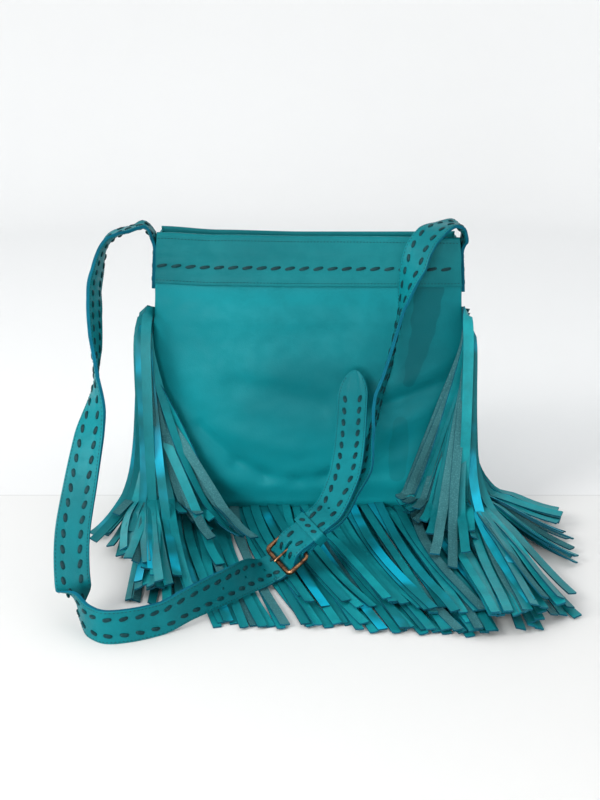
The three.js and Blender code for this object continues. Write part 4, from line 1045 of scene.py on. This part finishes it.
def prong_shape():
    radius = PRONG_DIAMETER / 2
    hook = WIRE_RADIUS + CLEARANCE + radius
    half = BUCKLE_LENGTH / 2
    points = [(0, half + math.cos(angle) * hook, math.sin(angle) * hook)
              for angle in np.linspace(-math.pi * 1.05, math.pi * 0.5, 26)]
    points += [(0, mix(half, -half, share), mix(hook, PRONG_HEIGHT, share))
               for share in np.linspace(0, 1, 13)[1:]]
    tip = -half - PRONG_OVERHANG
    points += [(0, tip * 0.96, PRONG_HEIGHT), (0, tip, PRONG_HEIGHT), (0, tip - 0.5, PRONG_HEIGHT)]
    radii = [radius] * (len(points) - 3) + [radius * 0.92, radius * 0.7, radius * 0.3]
    return bar(points, radii, False)


def rounded_rectangle(half_x, low, high, radius):
    points = []
    corners = [(1, low + radius), (1, high - radius), (-1, high - radius), (-1, low + radius)]
    for k, (side, height) in enumerate(corners):
        for i in range(5):
            angle = math.pi / 2 * (k - 1 + i / 4)
            points.append((side * (half_x - radius) + radius * math.cos(angle),
                           height + radius * math.sin(angle)))
    return np.array(points)


def keeper_stitches(lace):
    top = OVER_LAYERS + STRAP_THICKNESS / 2 + 2 * CLEARANCE + KEEPER_LEATHER
    way, square = turned(BUCKLE_ALONG, BUCKLE_ACROSS, KEEPER_LACE_SLANT)
    for across in KEEPER_LACES:
        middle = from_buckle((across, KEEPER_OFFSET, top))
        add_stitch(lace, middle, way, square, BUCKLE_OUT, STRAP_LACE_LENGTH * 0.8, 3, 0.1, 0.5)


def keeper_shape():
    half_x = STRAP_WIDTH / 2 + 2 * CLEARANCE
    low = -FOLDED_LAYER - FOLD_THICKNESS / 2 - 2 * CLEARANCE
    high = OVER_LAYERS + STRAP_THICKNESS / 2 + 2 * CLEARANCE
    wall = KEEPER_LEATHER
    outer = rounded_rectangle(half_x + wall, low - wall, high + wall, wall * 1.2)
    inner = rounded_rectangle(half_x, low, high, wall * 0.3)
    half = KEEPER_LENGTH * 0.42
    rows = [(-half, 0.5), (-half + 0.15, 0.85), (-half + 0.6, 1.0), (-half * 0.4, 1.03), (0, 1.04)]
    rows += [(-y, share) for y, share in rows[:-1][::-1]]
    rings = []
    for near, far in zip(inner, outer):
        face = [(mix(near, far, 0.5 + 0.5 * share), y) for y, share in rows]
        back = [(mix(far, near, 0.5 + 0.5 * min(share, 1)), y) for y, share in rows]
        ring = [(spot[0], KEEPER_OFFSET + y, spot[1]) for spot, y in [*face, *back[::-1]]]
        rings.append(from_buckle(ring))
    return one_skin(*loft(rings, loop=True))


# The fringe
class Ground:
    """Heights of what already lies on the floor, and of what hangs low over it."""

    def __init__(self):
        self.low = np.array(GROUND_LOW)
        size = (np.array(GROUND_HIGH) - self.low) / GROUND_CELL
        self.top = np.zeros(size.astype(int))
        self.ceiling = np.full(size.astype(int), NO_CEILING)

    def cells(self, points):
        index = ((points[:, :2] - self.low) / GROUND_CELL).astype(int)
        limit = np.array(self.top.shape) - 1
        index = np.clip(index, 0, limit)
        return index[:, 0], index[:, 1]

    def under(self, points):
        return self.top[self.cells(points)]

    def over(self, points):
        return self.ceiling[self.cells(points)]

    def pile(self, points, heights):
        np.maximum.at(self.top, self.cells(points), heights)

    def cover(self, points, heights):
        np.minimum.at(self.ceiling, self.cells(points), heights)


def root_of(place):
    """Where a strip leaves the seam, and which way is out of the bag there."""
    point, outward = seam_point(place, FRINGE_TOP)
    root = point - outward * CLEARANCE * 3
    root[1] = SEAM_Y - CLEARANCE - HEAD_THICKNESS / 2
    root[2] = max(root[2], LOWEST_STRIP)
    return root, outward


def strip_points(fan, share):
    """Points that a cut strip of a fan passes through, from its root in the seam to its tip."""
    start, stop, tips_x, tips_y, straight, aside, front, _, loose, _, tip_height = fan
    root, outward = root_of(mix(start, stop, share))
    sway = MIDDLE_SWAY * math.sin(math.pi * share) if aside == 0 else 0
    tip_x = mix(*tips_x, share) * FRINGE_HALF_SPREAD + sway + random.gauss(0, BOW_ACROSS) * loose
    tip_y = -mix(*tips_y, share) * FRINGE_REACH + abs(random.gauss(0, TIP_AHEAD)) * loose
    tip = np.array((tip_x, tip_y, LOWEST_STRIP * tip_height))
    if root[2] < CORNER_RADIUS / 2:
        return ground_points(root, outward, tip, loose), outward
    away = mix(*front, share) + random.uniform(-0.6, 0.6)
    bow = np.array((random.gauss(0, BOW_ACROSS), random.gauss(0, BOW_AHEAD), 0)) * loose
    return hanging_points(root, outward, tip, straight, aside, away, bow), outward


def hanging_points(root, outward, tip, straight, aside, away, bow):
    """Over a rounded shoulder, down, and out along the floor."""
    side = 1 if root[0] >= 0 else -1
    stand = side * aside * mix(SHOULDER_LOW, SHOULDER_HIGH, root[2] / FRINGE_TOP)
    exit_point = root + outward * HEAD_PROUD + (0, -away * 0.08, 1.5)
    shoulder = exit_point + (stand * 0.6, -1 - away * 0.2, 1.5)
    drop = exit_point + (stand, -1 - away * 0.5, -LOCK_WIDTH * 1.4)
    drop[2] = max(drop[2], LOWEST_STRIP)
    points = [root, exit_point, shoulder, drop]
    for rise, gone in FALL_SHARES:
        led = mix(gone, (1 - rise) * 0.92, straight)
        spot = mix(drop, tip, led) + bow * math.sin(math.pi * led)
        spot[1] = mix(drop[1], tip[1], mix(gone, (1 - rise) * 0.92, straight * AHEAD_SHARE))
        spot[2] = mix(tip[2], drop[2], rise)
        spot[1] = min(spot[1], root[1] - away * mix(1, 0.85, rise))
        points.append(spot)
    return np.array([*points, tip])


def ground_points(root, outward, tip, loose):
    """A strip that starts under the bag and lies on the floor all the way."""
    exit_point = root + outward * (HEAD_PROUD + CLEARANCE)
    exit_point[2] = max(exit_point[2], LOWEST_STRIP)
    points = [root, exit_point, exit_point + (0, -HEAD_THICKNESS * 3, 0)]
    start = points[-1]
    bow = random.gauss(0, BOW_ACROSS) * loose
    for share in (0.3, 0.55, 0.8):
        spot = mix(start, tip, share)
        spot[0] = mix(start[0], tip[0], share**1.35) + bow * math.sin(math.pi * share)
        spot[2] = LOWEST_STRIP
        points.append(spot)
    return np.array([*points, tip])


def level_across(along):
    """Level ways across a run."""
    return unit(np.stack([-along[:, 1], along[:, 0], np.zeros(len(along))], axis=-1))


def laid(points, width, ground):
    """Lifts a strip's low stretch onto what lies under it, and says how far that clashes."""
    level = level_across(unit(np.gradient(points, axis=0)))
    feet = [points + level * width * share for share in (-0.45, -0.2, 0.2, 0.45)]
    under = np.max([ground.under(foot) for foot in feet], axis=0)
    over = np.min([ground.over(foot) for foot in feet], axis=0)
    near = 1 - smooth(points[:, 2], GROUND_TOP / 2, GROUND_TOP)
    needed = under * near + STRIP_THICKNESS / 2 + 0.1
    z = np.maximum(points[:, 2], needed)
    for _ in range(LAY_ROUNDS):
        middle = z.copy()
        middle[1:-1] = (z[:-2] + 2 * z[1:-1] + z[2:]) / 4
        middle[-1] = mix(z[-1], z[-2], 0.5)
        z = np.maximum(mix(z, middle, near), np.minimum(needed, z))
    clash = np.max(np.where(over < NO_CEILING, z + STRIP_THICKNESS / 2 + 0.3 - over, -1))
    return np.column_stack([points[:, :2], z]), clash


def pile_strip(points, width, ground):
    """Adds the flat stretches of a strip to the heights on the floor."""
    parts = [mix(points[:-1], points[1:], share) for share in (0, 0.25, 0.5, 0.75)]
    dense = np.concatenate([*parts, points[-1:]])
    along = unit(np.concatenate([np.diff(points, axis=0)] * 4 + [points[-1:] - points[-2:-1]]))
    level = level_across(along)
    low = (dense[:, 2] < GROUND_TOP) & (np.abs(along[:, 2]) < 0.45)
    for share in (-0.5, -0.3, -0.1, 0.1, 0.3, 0.5):
        spots = (dense + level * width * share)[low]
        ground.pile(spots, dense[low][:, 2] + STRIP_THICKNESS / 2)


def strip_sides(points, outward, yaw, twist):
    """Ways across and out of a strip. It faces the front where it hangs and lies flat below."""
    along = unit(np.gradient(points, axis=0))
    lengths = np.concatenate([[0], np.cumsum(np.linalg.norm(np.diff(points, axis=0), axis=1))])
    at = (lengths / lengths[-1])[:, None]
    level = level_across(along)
    level = np.where(level[:, :1] < 0, -level, level)
    hanging = np.array((math.cos(yaw), math.sin(yaw), 0))
    steep = smooth(np.abs(along[:, 2:]), 0.12, 0.45)
    across = mix(level, hanging, steep)
    first = np.array((-outward[2], 0, outward[0]))
    first = first if outward[0] < 0 or abs(outward[2]) > 0.7 else -first
    across = across_of(mix(first, across, smooth(at, 0.0, 0.16)), along)
    out = np.cross(across, along)
    angle = twist * smooth(at, 0.12, 0.75)
    turned_across = across * np.cos(angle) + out * np.sin(angle)
    return turned_across, out * np.cos(angle) - across * np.sin(angle), at[:, 0]


def add_strip(shape, points, outward, width, flesh_up, yaw, twist, curl, tone):
    """One cut strip. Its two faces and its edges have their own materials."""
    across, out, at = strip_sides(points, outward, yaw, twist)
    profile = [(-1, 1), (-0.4, 1), (0.4, 1), (1, 1), (1, -1), (0.4, -1), (-0.4, -1), (-1, -1)]
    rings = []
    for i in range(len(points)):
        half = width / 2 * mix(1.0, 0.93, at[i])
        bowl = curl * at[i]
        rings.append([points[i] + across[i] * a * half
                      + out[i] * (b * STRIP_THICKNESS / 2 + bowl * (1 - a * a)) for a, b in profile])
    rings = np.array(rings)
    lowest = rings[:, :, 2].min(axis=1)
    rings[:, :, 2] += np.maximum(0.3 - lowest, 0)[:, None]
    skin, faces = loft(rings)
    shown = np.mean(out @ np.array((0, -1.0, 0.7))) > 0
    upper, lower = (0, 1) if shown != flesh_up else (1, 0)
    around = [upper] * 3 + [2] + [lower] * 3 + [2]
    kinds = around * (len(points) - 1)
    kinds += [2] * (len(faces) - len(kinds))
    shape.add(skin, faces, kinds, tone=tone, run=np.repeat(at, len(profile)))


def strap_ceiling(ground, ribbons):
    """Marks where the straps and the buckle lie low, so that no strip passes through them."""
    for ribbon in ribbons:
        point, _, across, out, thick = ribbon.frames(np.arange(0, ribbon.length, CEILING_STEP))
        for share in np.linspace(-0.5, 0.5, 13):
            spots = point + across * STRAP_WIDTH * share
            below = spots[:, 2] - np.abs(out[:, 2]) * thick / 2
            low = below < CEILING_TOP
            for reach in (-1, 0, 1):
                sideways = spots + out * reach * (thick / 2)[:, None]
                ground.cover(sideways[low], below[low])
    frame_points = buckle_frame_shape().all_points()
    ground.cover(frame_points, frame_points[:, 2] - 0.5)


def strip_curve(knots, outward, width, ground):
    """Even places along the smooth curve through the knots, laid on what is below."""
    curve = Ribbon([(knot, outward, 1.0) for knot in knots])
    lengths = np.linspace(0, curve.length, STRIP_STATIONS)
    return laid(curve.at(curve.place_of(lengths)), width, ground)


def add_fan(shape, fan, ground):
    """The cut strips of a fan. One that meets a strap at every try is left out."""
    count = fan[7]
    order = list(range(count))
    random.shuffle(order)
    for i in order:
        for _ in range(STRIP_TRIES):
            place = i + random.uniform(-PLACE_JITTER, PLACE_JITTER)
            share = min(max(place / (count - 1), 0), 1)
            knots, outward = strip_points(fan, share)
            width = STRIP_WIDTH * random.uniform(*WIDTH_SHARES)
            points, clash = strip_curve(knots, outward, width, ground)
            if clash < 0.2:
                break
        else:
            continue
        pile_strip(points, width, ground)
        hangs = knots[0][2] > CORNER_RADIUS / 2
        yaw = random.gauss(0, HANGING_YAW) if hangs else 0
        twist = random.choice(HANGING_TWISTS) if hangs else random.gauss(0, FLAT_TWIST)
        flesh_up = random.random() < fan[9]
        curl = random.uniform(*CURLS)
        add_strip(shape, points, outward, width, flesh_up, yaw, twist, curl, random.random())


def add_single_strip(shape, row, ground):
    place, tip, straight, aside, away, width, twist, flesh_up, tone = row
    root, outward = root_of(place)
    still = np.zeros(3)
    knots = hanging_points(root, outward, np.array(tip), straight, aside, away, still)
    points, _ = strip_curve(knots, outward, width, ground)
    pile_strip(points, width, ground)
    add_strip(shape, points, outward, width, bool(flesh_up), 0, twist, 0.3, tone)


def fringe_shape(ribbons):
    ground = Ground()
    strap_ceiling(ground, ribbons)
    shape = Shape()
    # The head has no run mark of its own, so it reads 0 and is painted dark with the root shade.
    shape.add(*seam_strip(seam_places(50, 24, FRINGE_TOP), FRINGE_TOP, head_section), tone=0.5)
    for fan in FANS:
        add_fan(shape, fan, ground)
    for row in SINGLE_STRIPS:
        add_single_strip(shape, row, ground)
    return shape


# Materials
def add_node(tree, kind, inputs, **settings):
    """A node. Each input gets its value, or a link where another node's output is given."""
    node = tree.nodes.new(kind)
    for name, value in settings.items():
        setattr(node, name, value)
    for key, value in inputs.items():
        if isinstance(value, bpy.types.NodeSocket):
            tree.links.new(value, node.inputs[key])
        else:
            node.inputs[key].default_value = value
    return node


def object_place(tree):
    return add_node(tree, "ShaderNodeTexCoord", {}).outputs["Object"]


def noise_node(tree, scale, detail=3.0, rough=0.55):
    inputs = {"Vector": object_place(tree), "Scale": scale, "Detail": detail, "Roughness": rough}
    return add_node(tree, "ShaderNodeTexNoise", inputs).outputs["Fac"]


def mark_node(tree, name):
    return add_node(tree, "ShaderNodeAttribute", {}, attribute_name=name).outputs["Fac"]


def position_node(tree, axis):
    place = add_node(tree, "ShaderNodeNewGeometry", {}).outputs["Position"]
    return add_node(tree, "ShaderNodeSeparateXYZ", {"Vector": place}).outputs[axis]


def ranged(tree, value, low, high, to_low=0.0, to_high=1.0):
    """A value eased from one range into another."""
    inputs = {"Value": value, "From Min": low, "From Max": high, "To Min": to_low, "To Max": to_high}
    node = add_node(tree, "ShaderNodeMapRange", inputs, interpolation_type="SMOOTHSTEP")
    return node.outputs["Result"]


def product(tree, first, second):
    inputs = {0: first, 1: second}
    return add_node(tree, "ShaderNodeMath", inputs, operation="MULTIPLY").outputs[0]


def blended(tree, share, first, second):
    """A mix of two colours, each a colour or an output."""
    node = add_node(tree, "ShaderNodeMix", {"Factor": share}, data_type="RGBA")
    sockets = [socket for socket in node.inputs if socket.type == "RGBA"]
    for socket, value in zip(sockets, (first, second)):
        if isinstance(value, tuple):
            socket.default_value = (*value, 1)
        else:
            tree.links.new(value, socket)
    return next(socket for socket in node.outputs if socket.type == "RGBA")


def scaled(colour, factor):
    return tuple(value * factor for value in colour)


def new_material(name):
    material = bpy.data.materials.new(name)
    material.use_nodes = True
    tree = material.node_tree
    return material, tree, tree.nodes["Principled BSDF"]


def add_grain(tree, shader, size, depth, fibre=0.0):
    """Fine pebbled grain, and loose fibres where asked, as relief."""
    inputs = {"Vector": object_place(tree), "Scale": 1 / (size * MM)}
    cells = add_node(tree, "ShaderNodeTexVoronoi", inputs, feature="SMOOTH_F1")
    inputs = {"Height": cells.outputs["Distance"], "Distance": depth * MM, "Strength": 0.55}
    pebbles = add_node(tree, "ShaderNodeBump", inputs)
    inputs = {"Height": noise_node(tree, 900 if fibre else 420, 4.0, 0.7),
              "Normal": pebbles.outputs["Normal"],
              "Distance": depth * 3 * MM, "Strength": 0.35 + fibre}
    soft = add_node(tree, "ShaderNodeBump", inputs)
    tree.links.new(soft.outputs["Normal"], shader.inputs["Normal"])


def leather_material(name, dye, roughness=0.5, stains_and_painted_light=False):
    """Dyed leather: cloudy dye in two tones, fine mottling and a pebbled grain; with stains, also
    painted light.
    """
    light, dark = dye
    material, tree, shader = new_material(name)
    cloud = ranged(tree, noise_node(tree, 10, 3.0, 0.5), 0.3, 0.7)
    mottle = ranged(tree, noise_node(tree, 75, 5.0, 0.65), 0.35, 0.7)
    colour = blended(tree, cloud, dark, light)
    colour = blended(tree, ranged(tree, mottle, 0, 1, 0.0, 0.22), colour, scaled(dark, 0.86))
    if stains_and_painted_light:
        # Painted light: the first two rows paint the leather lighter towards the bottom and towards
        # the left, as if lit there. The last two are dark stains of the dye.
        shades = [
            (position_node(tree, "Z"), 0.14, 0.03, 0.7, scaled(light, 1.4)),
            (position_node(tree, "X"), -0.02, -0.14, 0.5, scaled(light, 1.3)),
            (mark_node(tree, "stain"), -0.4, 0.4, 0.8, scaled(dark, 0.8)),
            (mark_node(tree, "oval"), -0.8, 0.8, 0.36, scaled(dark, 0.8)),
        ]
        for value, start, stop, share, shade in shades:
            colour = blended(tree, ranged(tree, value, start, stop, 0.0, share), colour, shade)
    tree.links.new(colour, shader.inputs["Base Color"])
    rough = ranged(tree, mottle, 0, 1, roughness - 0.05, roughness + 0.08)
    tree.links.new(rough, shader.inputs["Roughness"])
    shader.inputs["Specular IOR Level"].default_value = LEATHER_SHINE
    add_grain(tree, shader, LEATHER_GRAIN, GRAIN_DEPTH)
    return material


def strip_material(name, dye, roughness, specular, fibre=0.0, painted_highlight=None, seam=None):
    """Leather of the cut strips, whose tone differs from strip to strip, with a painted highlight
    and painted root shade where asked.
    """
    light, dark = dye
    material, tree, shader = new_material(name)
    cloud = ranged(tree, noise_node(tree, 45, 4.0, 0.6), 0.3, 0.7, 0.0, 0.5)
    tone = mark_node(tree, "tone")
    colour = blended(tree, ranged(tree, tone, 0, 1, 0.0, 0.75), light, dark)
    colour = blended(tree, cloud, colour, dark)
    # Painted highlight: patches of bright cyan on strips of the highest tones, as the sheen of the
    # light on them.
    if painted_highlight:
        highlight_patch = ranged(tree, noise_node(tree, 16, 2.0), 0.42, 0.6)
        highlighted_tone = ranged(tree, tone, 0.78, 0.95)
        colour = blended(tree, product(tree, highlight_patch, highlighted_tone), colour, painted_highlight)
    # Painted shade: each strip is darkened near its root, and the head, whose run mark is 0, is
    # darkened all over.
    if seam:
        root = ranged(tree, mark_node(tree, "run"), 0.045, 0.01, 0.0, 0.85)
        colour = blended(tree, root, colour, seam)
    if fibre:
        speck = ranged(tree, noise_node(tree, 700, 4.0, 0.75), 0.45, 0.75, 0.0, 0.6)
        pale = tuple(min(value * 1.7 + 0.03, 1) for value in light)
        colour = blended(tree, speck, colour, pale)
    tree.links.new(colour, shader.inputs["Base Color"])
    shader.inputs["Roughness"].default_value = roughness
    shader.inputs["Specular IOR Level"].default_value = specular
    add_grain(tree, shader, 0.9, 0.1, fibre)
    return material


def metal_material(name):
    """Dark bronze, worn bright in patches."""
    light, dark = BRONZE
    material, tree, shader = new_material(name)
    patches = ranged(tree, noise_node(tree, 190, 5.0, 0.7), 0.35, 0.62)
    tree.links.new(blended(tree, patches, light, dark), shader.inputs["Base Color"])
    shader.inputs["Metallic"].default_value = 1.0
    tree.links.new(ranged(tree, patches, 0, 1, 0.24, 0.45), shader.inputs["Roughness"])
    add_grain(tree, shader, 0.5, 0.03)
    return material


def floor_material(name):
    """Matt white, a little greyer beyond a faint line behind the bag; the line, and the darker white
    just beyond it, are painted shade of a wall's foot.
    """
    material, tree, shader = new_material(name)
    depth = position_node(tree, "Y")
    beyond = ranged(tree, depth, LINE_BEHIND - LINE_HALF_WIDTH, LINE_BEHIND + LINE_HALF_WIDTH)
    # Painted shade: beyond the line, the white is darker near it and lighter further back.
    wall = blended(tree, ranged(tree, depth, 0.0, 0.3), *WALL_WHITES_PAINTED_SHADE)
    colour = blended(tree, beyond, FLOOR_WHITE, wall)
    # Painted shade: a thin grey line where a wall would meet the floor.
    inputs = {0: depth, 1: LINE_BEHIND, 2: LINE_HALF_WIDTH}
    line = add_node(tree, "ShaderNodeMath", inputs, operation="COMPARE").outputs[0]
    colour = blended(tree, ranged(tree, line, 0, 1, 0.0, 0.8), colour, PAINTED_CORNER_SHADE_GREY)
    tree.links.new(colour, shader.inputs["Base Color"])
    shader.inputs["Roughness"].default_value = 0.75
    shader.inputs["Specular IOR Level"].default_value = 0.15
    return material


# Stage, light and camera
def make_stage():
    """A round floor that turns up into a low wall far from the bag on every side."""
    flat = FLOOR_RADIUS - FLOOR_BEND
    profile = [(reach, 0.0) for reach in (*FLOOR_FLAT, flat)]
    for angle in np.linspace(0, math.pi / 2, 13)[1:]:
        profile.append((flat + FLOOR_BEND * math.sin(angle), FLOOR_BEND * (1 - math.cos(angle))))
    profile.append((FLOOR_RADIUS, FLOOR_WALL))
    points = [(0.0, 0.0, 0.0)]
    for reach, height in profile:
        for k in range(FLOOR_SIDES):
            angle = k / FLOOR_SIDES * 2 * math.pi
            points.append((reach * math.cos(angle), reach * math.sin(angle), height))
    faces = [[0, 1 + k, 1 + (k + 1) % FLOOR_SIDES] for k in range(FLOOR_SIDES)]
    for row in range(len(profile) - 1):
        for k in range(FLOOR_SIDES):
            a = 1 + row * FLOOR_SIDES + k
            b = 1 + row * FLOOR_SIDES + (k + 1) % FLOOR_SIDES
            faces.append([a, a + FLOOR_SIDES, b + FLOOR_SIDES, b])
    mesh = bpy.data.meshes.new("studio_floor")
    mesh.from_pydata(points, [], faces)
    mesh.polygons.foreach_set("use_smooth", [True] * len(mesh.polygons))
    mesh.materials.append(floor_material("studio_white"))
    add_object("studio_floor", mesh)


def make_light():
    world = bpy.data.worlds.new("soft_sky")
    world.use_nodes = True
    background = world.node_tree.nodes["Background"]
    background.inputs["Color"].default_value = (*SKY_COLOUR, 1)
    background.inputs["Strength"].default_value = SKY_STRENGTH
    bpy.context.scene.world = world
    for name, place, size, power, colour, target in LAMPS:
        data = bpy.data.lights.new(name, "AREA")
        data.shape = "SQUARE"
        data.size = size
        data.energy = power
        data.color = colour
        lamp = add_object(name, data)
        lamp.location = place
        way = Vector(target) - Vector(place)
        lamp.rotation_euler = way.to_track_quat("-Z", "Y").to_euler()


def make_camera():
    data = bpy.data.cameras.new("camera")
    data.lens = CAMERA_LENS
    data.sensor_width = CAMERA_SENSOR
    camera = add_object("camera", data)
    camera.location = CAMERA_PLACE
    camera.rotation_euler = (math.radians(CAMERA_TILT), 0, 0)
    bpy.context.scene.camera = camera


def make_bag(thread):
    """The panels, the bands with their stitches, and the gusset."""
    # The body's leather takes the dark stains and the painted light, lighter towards its bottom and
    # left.
    body = leather_material("body_leather", BODY_DYE, stains_and_painted_light=True)
    band = leather_material("band_leather", BAND_DYE)
    for word, side in (("front", -1), ("back", 1)):
        make_piece(f"{word}_panel_skin", panel_shape(side), [body], [f"{word}_panel"])
        make_piece(f"{word}_band_skin", band_shape(side), [band], [f"{word}_band"])
        lace, fine = band_stitches(side)
        make_piece(f"{word}_band_lacing", lace, [thread])
        make_piece(f"{word}_band_seams", fine, [thread])
    make_piece("gusset_skin", gusset_shape(), [body], ["gusset"])


def strap_cutters(ribbon, middle):
    """Rods for the holes of the long strap and for the slot that the prong goes through."""
    rods = []
    for i in range(-HOLES_BEFORE_BUCKLE, HOLES_AFTER_BUCKLE + 1):
        if i:
            frame_there = ribbon.frames([middle + i * HOLE_SPACING])
            point, along, across, out, _ = (value[0] for value in frame_there)
            rods.append(cutter(f"hole_{i}", point, along, across, out,
                               HOLE_DIAMETER, HOLE_DIAMETER, 4))
    slot_middle = buckle_station(BUCKLE_LENGTH * SLOT_PLACE, 0, 1)[0]
    rods.append(cutter("long_slot", slot_middle, BUCKLE_ALONG, BUCKLE_ACROSS, BUCKLE_OUT,
                       BUCKLE_LENGTH * SLOT_SHARE, SLOT_WIDTH, BUCKLE_WIRE * 3))
    return rods


def make_straps(long_strap, short_strap, strap, thread):
    """Both straps with their holes, slots and stitches."""
    cut_edge = strip_material("strap_cut_edge", STRAP_EDGE, 0.7, 0.05)
    leathers = [strap, cut_edge]
    long_piece = make_piece("long_strap_skin", strap_shape(long_strap, True), leathers,
                            ["strap_long"])
    short_piece = make_piece("short_strap_skin", strap_shape(short_strap, False), leathers,
                             ["strap_short"])
    middle = long_strap.nearest(BUCKLE_MIDDLE)
    pierce(long_piece, strap_cutters(long_strap, middle))
    slot_middle = buckle_station(BUCKLE_LENGTH / 2, 0, 1)[0]
    slot_length = 2 * (WIRE_RADIUS + PRONG_DIAMETER + 3 * CLEARANCE)
    pierce(short_piece, [cutter("short_slot", slot_middle, BUCKLE_ALONG, BUCKLE_ACROSS, BUCKLE_OUT,
                                slot_length, SLOT_WIDTH, WRAP_RADIUS * 2)])

    lace, fine = Shape(), Shape()
    keeper = middle + KEEPER_OFFSET
    before_keeper = keeper - KEEPER_LENGTH / 2 - LACE_AFTER_BAR
    last = long_strap.length - LAST_STITCH
    strap_stitches(long_strap, FIRST_STITCH, middle - LACE_BEFORE_BAR, lace, fine, True)
    strap_stitches(long_strap, middle + LACE_AFTER_BAR, before_keeper, lace, fine, True, (1,))
    strap_stitches(long_strap, keeper + LACE_AFTER_KEEPER, last, lace, fine, True)
    keeper_stitches(lace)
    end = short_strap.nearest(buckle_station(KEEPER_OFFSET + KEEPER_LENGTH, 0, 1)[0])
    strap_stitches(short_strap, FIRST_STITCH, end, lace, fine, False)
    make_piece("strap_lacing", lace, [thread])
    make_piece("strap_seams", fine, [thread])


def make_fringe(ribbons):
    # The grain side takes the painted cyan highlight, and both faces take painted shade at their
    # roots.
    grain = strip_material("fringe_grain", FRINGE_GRAIN, 0.42, 0.2, painted_highlight=PAINTED_CYAN_HIGHLIGHT, seam=PAINTED_ROOT_SHADE)
    flesh = strip_material("fringe_flesh", FRINGE_FLESH, 0.85, 0.1, 0.4, seam=PAINTED_ROOT_SHADE)
    cut_edge = strip_material("fringe_cut_edge", FRINGE_EDGE, 0.6, 0.1)
    make_piece("fringe_strips", fringe_shape(ribbons), [grain, flesh, cut_edge],
               ["fringe"])


def build():
    thread = strip_material("thread_dark", THREAD_DYE, 0.5, 0.15)
    make_bag(thread)
    strap = leather_material("strap_leather", STRAP_DYE, 0.42)
    metal = metal_material("buckle_metal")
    long_strap, short_strap = long_ribbon(), short_ribbon()
    make_straps(long_strap, short_strap, strap, thread)
    make_piece("keeper_skin", keeper_shape(), [strap], ["keeper"])
    make_piece("buckle_frame_skin", buckle_frame_shape(), [metal], ["buckle_frame"])
    make_piece("buckle_prong_skin", prong_shape(), [metal], ["buckle_prong"])
    make_fringe([long_strap, short_strap])


bpy.context.scene.view_settings.view_transform = "Standard"
make_camera()
make_light()
make_stage()
build()
